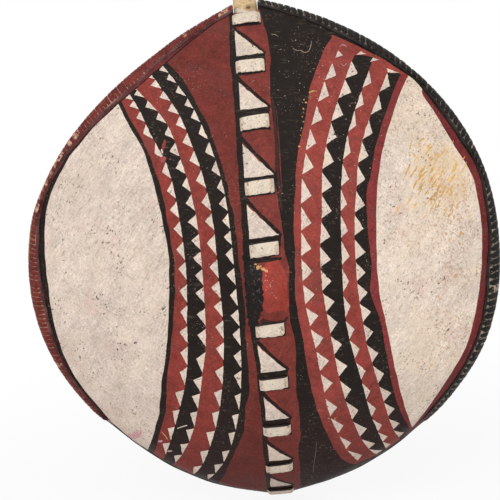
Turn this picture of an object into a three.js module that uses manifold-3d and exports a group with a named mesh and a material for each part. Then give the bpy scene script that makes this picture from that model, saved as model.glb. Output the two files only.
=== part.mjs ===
// A round-shouldered hide shield laced to a bowed wooden stave.
// Millimetres, +Z up along the stave, the painted face looks towards -Y.
// The origin is the middle of the hand grip on the stave.

import * as THREE from 'three';
import { mergeVertices } from 'three/addons/utils/BufferGeometryUtils.js';
import Module from 'manifold-3d';

const wasm = await Module();
wasm.setup();

// Driving dimensions of the hide
const hideThickness = 5;
const halfWidth = 306;
const halfLength = 412;
const spineRadius = 500;
const endRadius = 245;
const endBendStart = 276;
const crossRadius = 570;
const bossHeight = 22;
const bossHalfWidth = 34;
const bossHalfLength = 42;
const rollDepth = 19;
const rollWidth = 32;
const rollStart = 90;
const rollFull = 260;

// Driving dimensions of the stave and its grip
const staveWidth = 32;
const staveThickness = 14;
const staveChamfer = 3;
const staveTipReach = 30;
const staveFootStop = 36;
const gripBow = 12;
const gripNarrowing = 4;
const wrapThickness = 2.5;

// Driving dimensions of the rawhide lashings
const lashingWidth = 19;
const lashingThickness = 2.2;
const firstLashing = 52.5;
const lashingEndStop = 45.5;
const lashingsPerSide = 5;

// Driving dimensions of the rim
const rodRadius = 5;
const bindingThickness = 1.5;
const bindingLeg = 15;
const lacingThickness = 1.4;

// Clearances
const seatGap = 0.5;
const staveSeat = 0.8;
const slitClearance = 0.3;
const rimGap = 0.4;
const cutOverrun = 10;
const probeStep = 0.5;

// Outline and ring shares
const quarterShares = {
  topLeft: { power: 2.3, fullness: 1.26 },
  topRight: { power: 2.3, fullness: 0.96 },
  bottomLeft: { power: 1.85, fullness: 0.98 },
  bottomRight: { power: 2.15, fullness: 1.07 },
};
const ringShares = [
  0.03, 0.055, 0.08, 0.104, 0.15, 0.21, 0.28, 0.35, 0.42, 0.49, 0.56, 0.62,
  0.67, 0.72, 0.77, 0.815, 0.855, 0.89, 0.92, 0.945, 0.965, 0.983, 1,
];
const legShares = [1, 0.68, 0.38];
const innerCutShare = 0.2;

// Step counts
const stepsPerQuarter = 14;
const upperStaveSteps = 18;
const lowerStaveSteps = 16;
const gripSteps = 12;
const rodSides = 8;
const noseSteps = 6;

const colours = {
  hide: 0x8c3a35,
  wood: 0xb08a5c,
  strap: 0xd8cbb8,
  redRim: 0x6e2b2a,
  blackRim: 0x26221f,
  leather: 0x5a3a26,
};

// The front of the hide lies this far ahead of the grip's middle.
const faceAhead = hideThickness + staveSeat + staveThickness / 2 + gripBow;

// Materials and meshes

function material(colour, roughness) {
  return new THREE.MeshStandardMaterial({ color: colour, roughness, metalness: 0 });
}

function bufferFrom(positions, indices) {
  const geometry = new THREE.BufferGeometry();
  geometry.setAttribute('position', new THREE.Float32BufferAttribute(positions, 3));
  geometry.setIndex(indices);
  return geometry;
}

function toSolid(geometry) {
  const bare = geometry.clone();
  bare.deleteAttribute('normal');
  bare.deleteAttribute('uv');
  const merged = mergeVertices(bare);
  return new wasm.Manifold(new wasm.Mesh({
    numProp: 3,
    vertProperties: new Float32Array(merged.attributes.position.array),
    triVerts: new Uint32Array(merged.index.array),
  }));
}

function fromSolid(solid) {
  const mesh = solid.getMesh();
  return bufferFrom(Array.from(mesh.vertProperties), Array.from(mesh.triVerts));
}

// A closed solid from a row of sections with the same number of points each.
// A ring joins its last section to its first, and has no ends to fill.
function loft(sections, ring = false) {
  const count = sections[0].length;
  const positions = sections.flat().flatMap((p) => [p.x, p.y, p.z]);
  const indices = [];
  const spans = ring ? sections.length : sections.length - 1;
  for (let i = 0; i < spans; i += 1) {
    const near = i * count;
    const far = ((i + 1) % sections.length) * count;
    for (let k = 0; k < count; k += 1) {
      const next = (k + 1) % count;
      indices.push(near + k, near + next, far + next, near + k, far + next, far + k);
    }
  }
  if (!ring) {
    capSection(indices, sections[0], 0, true);
    capSection(indices, sections[spans], spans * count, false);
  }
  return bufferFrom(positions, indices);
}

// Fills one end of a loft, whatever the outline of the section.
function capSection(indices, section, first, flip) {
  const origin = section[0];
  const along = section[1].clone().sub(origin).normalize();
  const normal = new THREE.Vector3();
  for (let k = 1; k + 1 < section.length; k += 1) {
    const one = section[k].clone().sub(origin);
    const two = section[k + 1].clone().sub(origin);
    normal.add(one.cross(two));
  }
  const across = normal.normalize().clone().cross(along);
  const flat = section.map((p) => {
    const q = p.clone().sub(origin);
    return new THREE.Vector2(q.dot(along), q.dot(across));
  });
  for (const [a, b, c] of THREE.ShapeUtils.triangulateShape(flat, [])) {
    if (flip) indices.push(first + a, first + c, first + b);
    else indices.push(first + a, first + b, first + c);
  }
}

// Turns every face of a closed mesh outwards.
function facingOut(geometry) {
  const p = geometry.attributes.position;
  const index = geometry.index.array;
  const [a, b, c] = [new THREE.Vector3(), new THREE.Vector3(), new THREE.Vector3()];
  let volume = 0;
  for (let i = 0; i < index.length; i += 3) {
    a.fromBufferAttribute(p, index[i]);
    b.fromBufferAttribute(p, index[i + 1]);
    c.fromBufferAttribute(p, index[i + 2]);
    volume += a.dot(b.clone().cross(c));
  }
  if (volume > 0) return geometry;
  const turned = [];
  for (let i = 0; i < index.length; i += 3) turned.push(index[i], index[i + 2], index[i + 1]);
  geometry.setIndex(turned);
  return geometry;
}

// The bowed face

// Angle of the spine from upright, at a length along the hide from its middle.
function spineAngle(along) {
  const reach = Math.abs(along);
  const inner = Math.min(reach, endBendStart) / spineRadius;
  const outer = Math.max(reach - endBendStart, 0) / endRadius;
  return Math.sign(along) * (inner + outer);
}

// Point on the spine's front, without the boss.
function spinePoint(along) {
  const total = Math.abs(spineAngle(along));
  const inner = Math.min(total, endBendStart / spineRadius);
  const up = spineRadius * Math.sin(inner) + endRadius * (Math.sin(total) - Math.sin(inner));
  const back = spineRadius * (1 - Math.cos(inner)) + endRadius * (Math.cos(inner) - Math.cos(total));
  return new THREE.Vector3(0, back - faceAhead, Math.sign(along) * up);
}

function bell(share) {
  return share < 1 ? (1 - share * share) ** 2 : 0;
}

function smooth(share) {
  const t = Math.min(Math.max(share, 0), 1);
  return t * t * (3 - 2 * t);
}

// The outline's quarter above or below the middle, on the left (-1) or right (1).
function quarterAt(share, side) {
  if (share > 0) return side < 0 ? quarterShares.topLeft : quarterShares.topRight;
  return side < 0 ? quarterShares.bottomLeft : quarterShares.bottomRight;
}

// Edge of the hide at a share of the half length, on the left (-1) or right (1).
function edgeAt(share, side) {
  const { power, fullness } = quarterAt(share, side);
  const width = halfWidth * (1 - Math.abs(share) ** power) ** fullness;
  return { across: side * width, along: share * halfLength };
}

// Front of the hide. The inset is the distance from the edge along the ray from the middle.
function facePoint(edge, inset) {
  const length = Math.hypot(edge.across, edge.along);
  const share = 1 - inset / length;
  const across = share * edge.across;
  const along = share * edge.along;
  const point = spinePoint(along);
  point.x = across;
  point.y += crossRadius - Math.sqrt(crossRadius ** 2 - across ** 2);
  point.y -= bossHeight * bell(Math.hypot(across / bossHalfWidth, along / bossHalfLength));
  const turned = smooth((-edge.along - rollStart) / (rollFull - rollStart));
  const nearness = Math.max(1 - inset / rollWidth, 0);
  point.y += rollDepth * turned * nearness ** 2;
  return point;
}

// Front normal, from two chords of the face across the ray and along it.
function faceNormal(share, side, inset) {
  const step = probeStep / halfLength;
  const upper = facePoint(edgeAt(Math.min(share + step, 1), side), inset);
  const lower = facePoint(edgeAt(Math.max(share - step, -1), side), inset);
  const edge = edgeAt(share, side);
  const outer = facePoint(edge, inset - probeStep);
  const inner = facePoint(edge, inset + probeStep);
  const normal = outer.sub(inner).cross(upper.sub(lower)).normalize();
  return normal.multiplyScalar(side);
}

// A point near the hide's edge: outwards from the edge and forwards from the face.
function edgePoint(share, side, outward, forward) {
  const edge = edgeAt(share, side);
  if (outward <= 0) {
    return facePoint(edge, -outward).addScaledVector(faceNormal(share, side, -outward), forward);
  }
  const tip = facePoint(edge, 0);
  const direction = tip.clone().sub(facePoint(edge, probeStep)).normalize();
  return tip.addScaledVector(direction, outward)
    .addScaledVector(faceNormal(share, side, 0), forward);
}

// The hide

const lashingInnerHalf = staveWidth / 2 + seatGap;

// Share of the half length at which the edge passes beside the stave.
function besideStaveShare({ power, fullness }) {
  const beside = (lashingInnerHalf + rimGap) / halfWidth;
  return (1 - beside ** (1 / fullness)) ** (1 / power);
}

// Stations down one side, from beside the stave's tip to the foot of the hide,
// as shares of the half length.
function sideStations(side) {
  const shares = [besideStaveShare(quarterAt(1, side))];
  for (let i = 1; i < 2 * stepsPerQuarter; i += 1) shares.push(1 - i / stepsPerQuarter);
  shares.push(-besideStaveShare(quarterAt(-1, side)), -1);
  return shares;
}

// Stations all round the hide from its top, down the right and up the left.
function outlineStations() {
  const right = sideStations(1).map((share) => ({ share, side: 1 }));
  const left = sideStations(-1).slice(0, -1).map((share) => ({ share, side: -1 }));
  return [{ share: 1, side: 1 }].concat(right, left.reverse());
}

function hideShell() {
  const stations = outlineStations();
  const count = stations.length;
  const middle = facePoint(edgeAt(1, 1), halfLength);
  const front = [middle];
  const back = [middle.clone().setY(middle.y + hideThickness)];
  for (const ring of ringShares) {
    for (const { share, side } of stations) {
      const edge = edgeAt(share, side);
      const inset = (1 - ring) * Math.hypot(edge.across, edge.along);
      const normal = faceNormal(share, side, inset);
      front.push(facePoint(edge, inset));
      back.push(facePoint(edge, inset).addScaledVector(normal, -hideThickness));
    }
  }
  const behind = front.length;
  const indices = [];
  const quad = (a, b, c, d) => indices.push(a, b, c, a, c, d);
  for (let k = 0; k < count; k += 1) {
    const next = (k + 1) % count;
    indices.push(0, 1 + next, 1 + k);
    indices.push(behind, behind + 1 + k, behind + 1 + next);
    for (let r = 0; r + 1 < ringShares.length; r += 1) {
      const inner = 1 + r * count;
      const outer = inner + count;
      quad(inner + k, inner + next, outer + next, outer + k);
      quad(behind + inner + k, behind + outer + k, behind + outer + next, behind + inner + next);
    }
    const rim = 1 + (ringShares.length - 1) * count;
    quad(rim + k, rim + next, behind + rim + next, behind + rim + k);
  }
  const positions = front.concat(back).flatMap((p) => [p.x, p.y, p.z]);
  return facingOut(bufferFrom(positions, indices));
}

// The frame of the spine at a length along it: X across, Y forwards, Z along.
function spineFrame(along) {
  const angle = spineAngle(along);
  const across = new THREE.Vector3(1, 0, 0);
  const forward = new THREE.Vector3(0, -Math.cos(angle), Math.sin(angle));
  const up = new THREE.Vector3(0, Math.sin(angle), Math.cos(angle));
  const matrix = new THREE.Matrix4().makeBasis(across, forward.negate(), up);
  return matrix.setPosition(spinePoint(along));
}

// A box in the spine's frame, from its middle and its sizes.
function spineBox(along, x, depth, width, thickness, height) {
  const box = new THREE.BoxGeometry(width, thickness, height);
  box.translate(x, depth, 0);
  return toSolid(box.applyMatrix4(spineFrame(along)));
}

const lashingOuterHalf = lashingInnerHalf + lashingThickness;
const slitWidth = lashingThickness + 2 * slitClearance;
const slitLength = lashingWidth + 2 * slitClearance;

// The last lashing of each side stops short of the hide's end, the others are evenly spaced.
const topLashing = halfLength - lashingEndStop;
const lashingPitch = (topLashing - firstLashing) / (lashingsPerSide - 1);

function lashingPlaces() {
  const places = [];
  for (let k = lashingsPerSide - 1; k >= 0; k -= 1) places.push(firstLashing + k * lashingPitch);
  for (let k = 0; k < lashingsPerSide; k += 1) places.push(-firstLashing - k * lashingPitch);
  return places;
}

const notchStart = topLashing + lashingWidth / 2 + 2 * lashingThickness;

function makeHide() {
  let solid = toSolid(hideShell());
  for (const place of lashingPlaces()) {
    for (const side of [-1, 1]) {
      const x = side * (lashingInnerHalf + lashingThickness / 2);
      const deep = hideThickness + 2 * cutOverrun;
      solid = solid.subtract(spineBox(place, x, hideThickness / 2, slitWidth, deep, slitLength));
    }
  }
  const notchLength = halfLength - notchStart + cutOverrun;
  const notchMiddle = notchStart + notchLength / 2;
  const notchDeep = 2 * (hideThickness + cutOverrun);
  const notch = spineBox(notchMiddle, 0, 0, 2 * lashingInnerHalf, notchDeep, notchLength);
  return fromSolid(solid.subtract(notch));
}

// The stave

const gripHalfLength = firstLashing - lashingWidth / 2;

// How far the stave bows away from the hide at the grip.
function bowAt(along) {
  return gripBow * smooth((gripHalfLength - Math.abs(along)) / (gripHalfLength / 2));
}

const tipStraightFrom = topLashing + lashingWidth / 2;
const tipEnd = halfLength + staveTipReach;
const footEnd = -(halfLength - staveFootStop);

// One section of the stave, grown by a margin on every side.
function staveSection(along, margin) {
  const followed = Math.min(along, tipStraightFrom);
  const frame = spineFrame(followed);
  const depth = hideThickness + staveSeat + staveThickness / 2 + bowAt(along);
  const narrowing = gripNarrowing * bowAt(along) / gripBow;
  const x = (staveWidth - narrowing) / 2 + margin;
  const y = staveThickness / 2 + margin;
  const cut = staveChamfer + margin / 2;
  const outline = [
    [-x, -y + cut], [-x + cut, -y], [x - cut, -y], [x, -y + cut],
    [x, y - cut], [x - cut, y], [-x + cut, y], [-x, y - cut],
  ];
  return outline.map(([a, b]) => (
    new THREE.Vector3(a, b + depth, along - followed).applyMatrix4(frame)
  ));
}

function evenSteps(from, to, steps) {
  return Array.from({ length: steps + 1 }, (_, i) => from + (to - from) * i / steps);
}

const gripStations = evenSteps(-gripHalfLength, gripHalfLength, gripSteps);

function staveThrough(stations, margin) {
  return facingOut(loft(stations.map((along) => staveSection(along, margin))));
}

function makeStave() {
  const lower = evenSteps(footEnd, -gripHalfLength, lowerStaveSteps);
  const upper = evenSteps(gripHalfLength, tipEnd, upperStaveSteps);
  return staveThrough(lower.concat(gripStations.slice(1, -1), upper), 0);
}

// A leather sleeve round the grip, one step shorter than it at each end.
function makeGripWrap() {
  const outer = staveThrough(gripStations.slice(1, -1), seatGap + wrapThickness);
  const inner = staveThrough(gripStations, seatGap);
  return fromSolid(toSolid(outer).subtract(toSolid(inner)));
}

// The lashings

// Corners of a loop round the stave: X across and Y backwards, with cut corners.
function loopCorners(half, front, back, cut) {
  return [
    [-half, front + cut], [-half + cut, front], [half - cut, front], [half, front + cut],
    [half, back - cut], [half - cut, back], [-half + cut, back], [-half, back - cut],
  ];
}

// A strap that crosses the hide's front, passes two slits and closes behind the stave.
function makeLashing(along) {
  const back = hideThickness + staveSeat + staveThickness + seatGap;
  const thick = lashingThickness;
  const outer = loopCorners(lashingOuterHalf, -seatGap - thick, back + thick, thick);
  const inner = loopCorners(lashingInnerHalf, -seatGap, back, thick * innerCutShare);
  const frame = spineFrame(along);
  const place = ([x, y], z) => new THREE.Vector3(x, y, z).applyMatrix4(frame);
  const half = lashingWidth / 2;
  const sections = outer.map((corner, k) => [
    place(corner, -half), place(corner, half), place(inner[k], half), place(inner[k], -half),
  ]);
  return facingOut(loft(sections, true));
}

// The rim

// Sweeps a section of [outward, forward] points along one side of the hide.
// Both ends lie in upright planes, so that the two sides meet squarely.
function rimSweep(side, section) {
  const shares = sideStations(side);
  const foot = shares.length - 1;
  const sections = shares.map((share, i) => section.map(([outward, forward]) => {
    const point = edgePoint(share, side, outward, forward);
    if (i === 0) point.x = side * (lashingInnerHalf + rimGap);
    if (i === foot) point.x = side * rimGap / 2;
    return point;
  }));
  return facingOut(loft(sections));
}

const coreDepth = hideThickness + rimGap + 2 * rodRadius;
const noseRadius = coreDepth / 2 + 3 * rimGap;
const noseForward = -coreDepth / 2;
const noseOutward = -Math.sqrt((noseRadius - 2 * rimGap) ** 2 - (coreDepth / 2) ** 2);

function makeRod(side) {
  const section = evenSteps(0, 2 * Math.PI, rodSides).slice(1).map((turn) => (
    [noseOutward + rodRadius * Math.cos(turn), rodRadius - coreDepth + rodRadius * Math.sin(turn)]
  ));
  return rimSweep(side, section);
}

// A strip folded round the rim: two legs and a round nose, between two radii.
function foldedStrip(side, innerRadius, outerRadius, shares) {
  const legs = shares.map((share) => -share * bindingLeg);
  const arc = (radius) => {
    const nose = evenSteps(Math.PI / 2, -Math.PI / 2, noseSteps).map((turn) => (
      [noseOutward + radius * Math.cos(turn), noseForward + radius * Math.sin(turn)]
    ));
    const front = legs.map((outward) => [outward, noseForward + radius]);
    const back = legs.map((outward) => [outward, noseForward - radius]).reverse();
    return front.concat(nose, back);
  };
  return rimSweep(side, arc(outerRadius).concat(arc(innerRadius).reverse()));
}

const bindingOuter = noseRadius + bindingThickness;
const lacingInner = bindingOuter + rimGap;

// The model

const part = new THREE.Group();

function add(name, geometry, finish) {
  const mesh = new THREE.Mesh(geometry, finish);
  mesh.name = name;
  part.add(mesh);
}

add('hide_face', makeHide(), material(colours.hide, 0.6));
add('stave', makeStave(), material(colours.wood, 0.65));
add('grip_wrap', makeGripWrap(), material(colours.leather, 0.7));

for (const [name, side, colour] of [['left', -1, colours.redRim], ['right', 1, colours.blackRim]]) {
  add(`rim_rod_${name}`, makeRod(side), material(colours.wood, 0.7));
  const binding = foldedStrip(side, noseRadius, bindingOuter, legShares);
  add(`rim_binding_${name}`, binding, material(colour, 0.6));
  const lacing = foldedStrip(side, lacingInner, lacingInner + lacingThickness, legShares.slice(1));
  add(`rim_lacing_${name}`, lacing, material(colour, 0.55));
}

lashingPlaces().forEach((place, i) => {
  add(`stave_lashing_${i + 1}`, makeLashing(place), material(colours.strap, 0.75));
});

export default part;
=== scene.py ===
"""The looks of a painted hide shield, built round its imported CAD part.

Lengths are in millimetres and are turned into metres as each mesh is made.
On the face, x runs across and v runs along the bowed spine, both from the middle of the boss.
"""

import math

import bmesh
import bpy
import numpy as np
from mathutils import Matrix, Vector
from mathutils.geometry import delaunay_2d_cdt


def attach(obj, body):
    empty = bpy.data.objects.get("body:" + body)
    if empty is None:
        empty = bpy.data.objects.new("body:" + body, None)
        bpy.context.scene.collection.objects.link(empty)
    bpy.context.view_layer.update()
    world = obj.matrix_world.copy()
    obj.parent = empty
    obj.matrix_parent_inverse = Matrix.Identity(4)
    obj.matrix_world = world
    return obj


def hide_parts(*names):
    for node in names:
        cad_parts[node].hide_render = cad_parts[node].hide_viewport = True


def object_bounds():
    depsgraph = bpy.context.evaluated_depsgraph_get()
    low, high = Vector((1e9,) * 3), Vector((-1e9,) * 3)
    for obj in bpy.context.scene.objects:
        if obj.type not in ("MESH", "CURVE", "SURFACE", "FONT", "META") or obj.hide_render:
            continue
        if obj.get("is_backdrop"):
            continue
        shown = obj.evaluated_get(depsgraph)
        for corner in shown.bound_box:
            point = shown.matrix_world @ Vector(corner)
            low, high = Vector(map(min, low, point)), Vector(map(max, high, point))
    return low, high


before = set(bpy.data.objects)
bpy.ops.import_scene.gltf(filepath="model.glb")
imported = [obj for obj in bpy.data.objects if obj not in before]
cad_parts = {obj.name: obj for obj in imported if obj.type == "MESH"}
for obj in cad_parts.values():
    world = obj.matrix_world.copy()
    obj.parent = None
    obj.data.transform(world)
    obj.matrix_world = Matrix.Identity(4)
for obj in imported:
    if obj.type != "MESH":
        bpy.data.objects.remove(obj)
cad_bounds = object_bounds()
scene = bpy.context.scene
rng = np.random.default_rng(11)

MM = 0.001

# The part's own sizes

HIDE_THICKNESS = 5.0
HALF_WIDTH = 306.0
HALF_LENGTH = 412.0
SPINE_RADIUS = 500.0
END_RADIUS = 245.0
END_BEND_START = 276.0
CROSS_RADIUS = 570.0
BOSS_HEIGHT = 22.0
BOSS_HALF_WIDTH = 34.0
BOSS_HALF_LENGTH = 42.0
ROLL_DEPTH = 19.0
ROLL_WIDTH = 32.0
ROLL_START = 90.0
ROLL_FULL = 260.0
STAVE_WIDTH = 32.0
STAVE_THICKNESS = 14.0
STAVE_SEAT = 0.8
STAVE_TIP = 442.0
STAVE_FOOT = -376.0
TIP_STRAIGHT_FROM = 376.0
NOTCH_START = 380.4
GRIP_BOW = 12.0
GRIP_NARROWING = 4.0
LASHING_WIDTH = 19.0
LASHING_THICKNESS = 2.2
LASHING_HALF = STAVE_WIDTH / 2 + 0.5
FIRST_LASHING = 52.5
LASHING_PITCH = 78.5
GRIP_HALF = FIRST_LASHING - LASHING_WIDTH / 2
ROD_RADIUS = 5.0
NOSE_FORWARD = -7.7
NOSE_OUTWARD = -2.5
BINDING_INNER = 8.9
BINDING_OUTER = 10.4
BINDING_LEG = 15.0
LACING_INNER = 10.5
LACING_OUTER = 11.9
LACING_LEG = 10.2
RIM_START = LASHING_HALF + 0.4
ROD_GAP = 0.4
BINDING_EDGE_DIP = 1.4
# the binding's reach over the face beside the stave's tip, and its least, at the foot
TIP_LEG = 10.0
FOOT_LEG = 4.0
FACE_AHEAD = HIDE_THICKNESS + STAVE_SEAT + STAVE_THICKNESS / 2 + GRIP_BOW

# (power, fullness) of the outline above and below the middle, left and right
TOP_LEFT = (2.3, 1.26)
TOP_RIGHT = (2.3, 0.96)
BOTTOM_LEFT = (1.85, 0.98)
BOTTOM_RIGHT = (2.15, 1.07)


# The bowed face

def bell(share):
    """One in the middle, falling smoothly to zero where the share is one."""
    return np.where(share < 1, (1 - np.minimum(share, 1) ** 2) ** 2, 0.0)


def smooth(share):
    """From zero to one with the share, level at both ends and beyond."""
    t = np.clip(share, 0, 1)
    return t * t * (3 - 2 * t)


def spine_angle(v):
    """How far the bowed spine leans from upright."""
    reach = np.abs(v)
    inner = np.minimum(reach, END_BEND_START) / SPINE_RADIUS
    outer = np.maximum(reach - END_BEND_START, 0) / END_RADIUS
    return np.sign(v) * (inner + outer)


def spine_point(v):
    """Y and Z of the spine's front, without the boss."""
    total = np.abs(spine_angle(v))
    inner = np.minimum(total, END_BEND_START / SPINE_RADIUS)
    up = SPINE_RADIUS * np.sin(inner) + END_RADIUS * (np.sin(total) - np.sin(inner))
    back = SPINE_RADIUS * (1 - np.cos(inner)) + END_RADIUS * (np.cos(inner) - np.cos(total))
    return back - FACE_AHEAD, np.sign(v) * up


def edge_width(v, side):
    """From the spine to the edge of the flat hide on one side."""
    power = np.where(v > 0, np.where(side < 0, TOP_LEFT[0], TOP_RIGHT[0]),
                     np.where(side < 0, BOTTOM_LEFT[0], BOTTOM_RIGHT[0]))
    fullness = np.where(v > 0, np.where(side < 0, TOP_LEFT[1], TOP_RIGHT[1]),
                        np.where(side < 0, BOTTOM_LEFT[1], BOTTOM_RIGHT[1]))
    share = np.minimum(np.abs(v) / HALF_LENGTH, 1)
    return HALF_WIDTH * (1 - share ** power) ** fullness


# the hand-worked hide: its ridge over the stave and its bulges between the straps
STAVE_RIDGE = 2.2
STAVE_RIDGE_HALF = 34.0
STRAP_BULGE = 0.9
STRAP_BULGE_HALF = 26.0
BOSS_END = 50.0


def relief(x, v):
    """How far the hand-worked hide stands before the plain bow."""
    past_boss = np.abs(v) - BOSS_END
    over_stave = STAVE_RIDGE * bell(np.abs(x) / STAVE_RIDGE_HALF) * smooth(past_boss / 40)
    waves = 0.5 * np.sin(x / 47 + 1.3) * np.sin(v / 61 + 0.4)
    waves += 0.35 * np.sin(x / 23 - v / 31) + 0.3 * np.sin(x / 83 + v / 29 + 2.0)
    between_straps = np.sin((np.abs(v) - FIRST_LASHING) / LASHING_PITCH * math.pi) ** 2
    bulge = STRAP_BULGE * bell(np.abs(x) / STRAP_BULGE_HALF) * smooth(past_boss / 10)
    return over_stave + waves + bulge * between_straps


def ray_point(edge_x, edge_v, inset):
    """The front of the hide, inset from the edge along the ray from the middle."""
    length = np.hypot(edge_x, edge_v)
    share = 1 - inset / length
    x = share * edge_x
    v = share * edge_v
    y, z = spine_point(v)
    y = y + CROSS_RADIUS - np.sqrt(CROSS_RADIUS ** 2 - x ** 2)
    y = y - BOSS_HEIGHT * bell(np.hypot(x / BOSS_HALF_WIDTH, v / BOSS_HALF_LENGTH))
    turned = smooth((-edge_v - ROLL_START) / (ROLL_FULL - ROLL_START))
    y = y + ROLL_DEPTH * turned * np.maximum(1 - inset / ROLL_WIDTH, 0) ** 2
    y = y - relief(x, v)
    return np.stack(np.broadcast_arrays(x, y, z), -1)


FARTHEST_GROWTH = 400.0
HALVINGS = 46


def to_edge(x, v):
    """How far the ray through each point can grow before it meets the edge."""
    side = np.where(x < 0, -1, 1)
    low = np.zeros_like(x)
    high = np.full_like(x, FARTHEST_GROWTH)
    for _ in range(HALVINGS):
        middle = (low + high) / 2
        past = np.abs(v * middle) >= HALF_LENGTH
        past |= np.abs(x * middle) > edge_width(v * middle, side)
        high = np.where(past, middle, high)
        low = np.where(past, low, middle)
    return (low + high) / 2


def face_point(x, v):
    """A point of the hide's front. The very middle has no ray, so it is moved aside a little."""
    x, v = np.broadcast_arrays(np.asarray(x, float), np.asarray(v, float))
    x = np.where(np.hypot(x, v) < 1, x + 1.0, x)
    grow = to_edge(x, v)
    return ray_point(x * grow, v * grow, (grow - 1) * np.hypot(x, v))


def face_normal(x, v, step=1.0):
    across = face_point(x + step, v) - face_point(x - step, v)
    along = face_point(x, v + step) - face_point(x, v - step)
    normal = np.cross(across, along)
    return normal / np.linalg.norm(normal, axis=-1, keepdims=True)


# Meshes

def sweep_faces(rows, columns, first=0):
    """Quads over rows of sections whose points go round in columns, and a cap at each end."""
    row, column = np.meshgrid(np.arange(rows - 1), np.arange(columns), indexing="ij")
    beside = (column + 1) % columns
    quads = np.stack([row * columns + column, row * columns + beside,
                      (row + 1) * columns + beside, (row + 1) * columns + column], -1)
    faces = (quads.reshape(-1, 4) + first).tolist()
    faces.append([first + k for k in reversed(range(columns))])
    faces.append([first + (rows - 1) * columns + k for k in range(columns)])
    return faces


def make_object(name, points, faces, replaces, material, sharp=None):
    """One piece in millimetres. Edges sharper than that angle stay hard."""
    mesh = bpy.data.meshes.new(name)
    mesh.from_pydata((np.asarray(points, float) * MM).tolist(), [], faces)
    obj = bpy.data.objects.new(name, mesh)
    scene.collection.objects.link(obj)
    mesh.materials.append(material)
    mesh.shade_smooth()
    if sharp is not None:
        work = bmesh.new()
        work.from_mesh(mesh)
        bmesh.ops.recalc_face_normals(work, faces=work.faces)
        work.to_mesh(mesh)
        work.free()
        mesh.set_sharp_from_angle(angle=math.radians(sharp))
    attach(obj, "root")
    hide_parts(replaces)
    return obj


def point_layer(obj, name, values):
    layer = obj.data.attributes.new(name, "FLOAT", "POINT")
    layer.data.foreach_set("value", np.asarray(values, np.float32).ravel())


def colour_layer(obj, name, values, domain="POINT"):
    layer = obj.data.attributes.new(name, "FLOAT_COLOR", domain)
    layer.data.foreach_set("color", np.asarray(values, np.float32).ravel())


# Materials

def linear(red, green, blue):
    """A screen colour of levels 0 to 255 as the linear colour that the nodes take."""
    def one(level):
        level = level / 255
        return level / 12.92 if level <= 0.04045 else ((level + 0.055) / 1.055) ** 2.4
    return (one(red), one(green), one(blue), 1.0)


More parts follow.
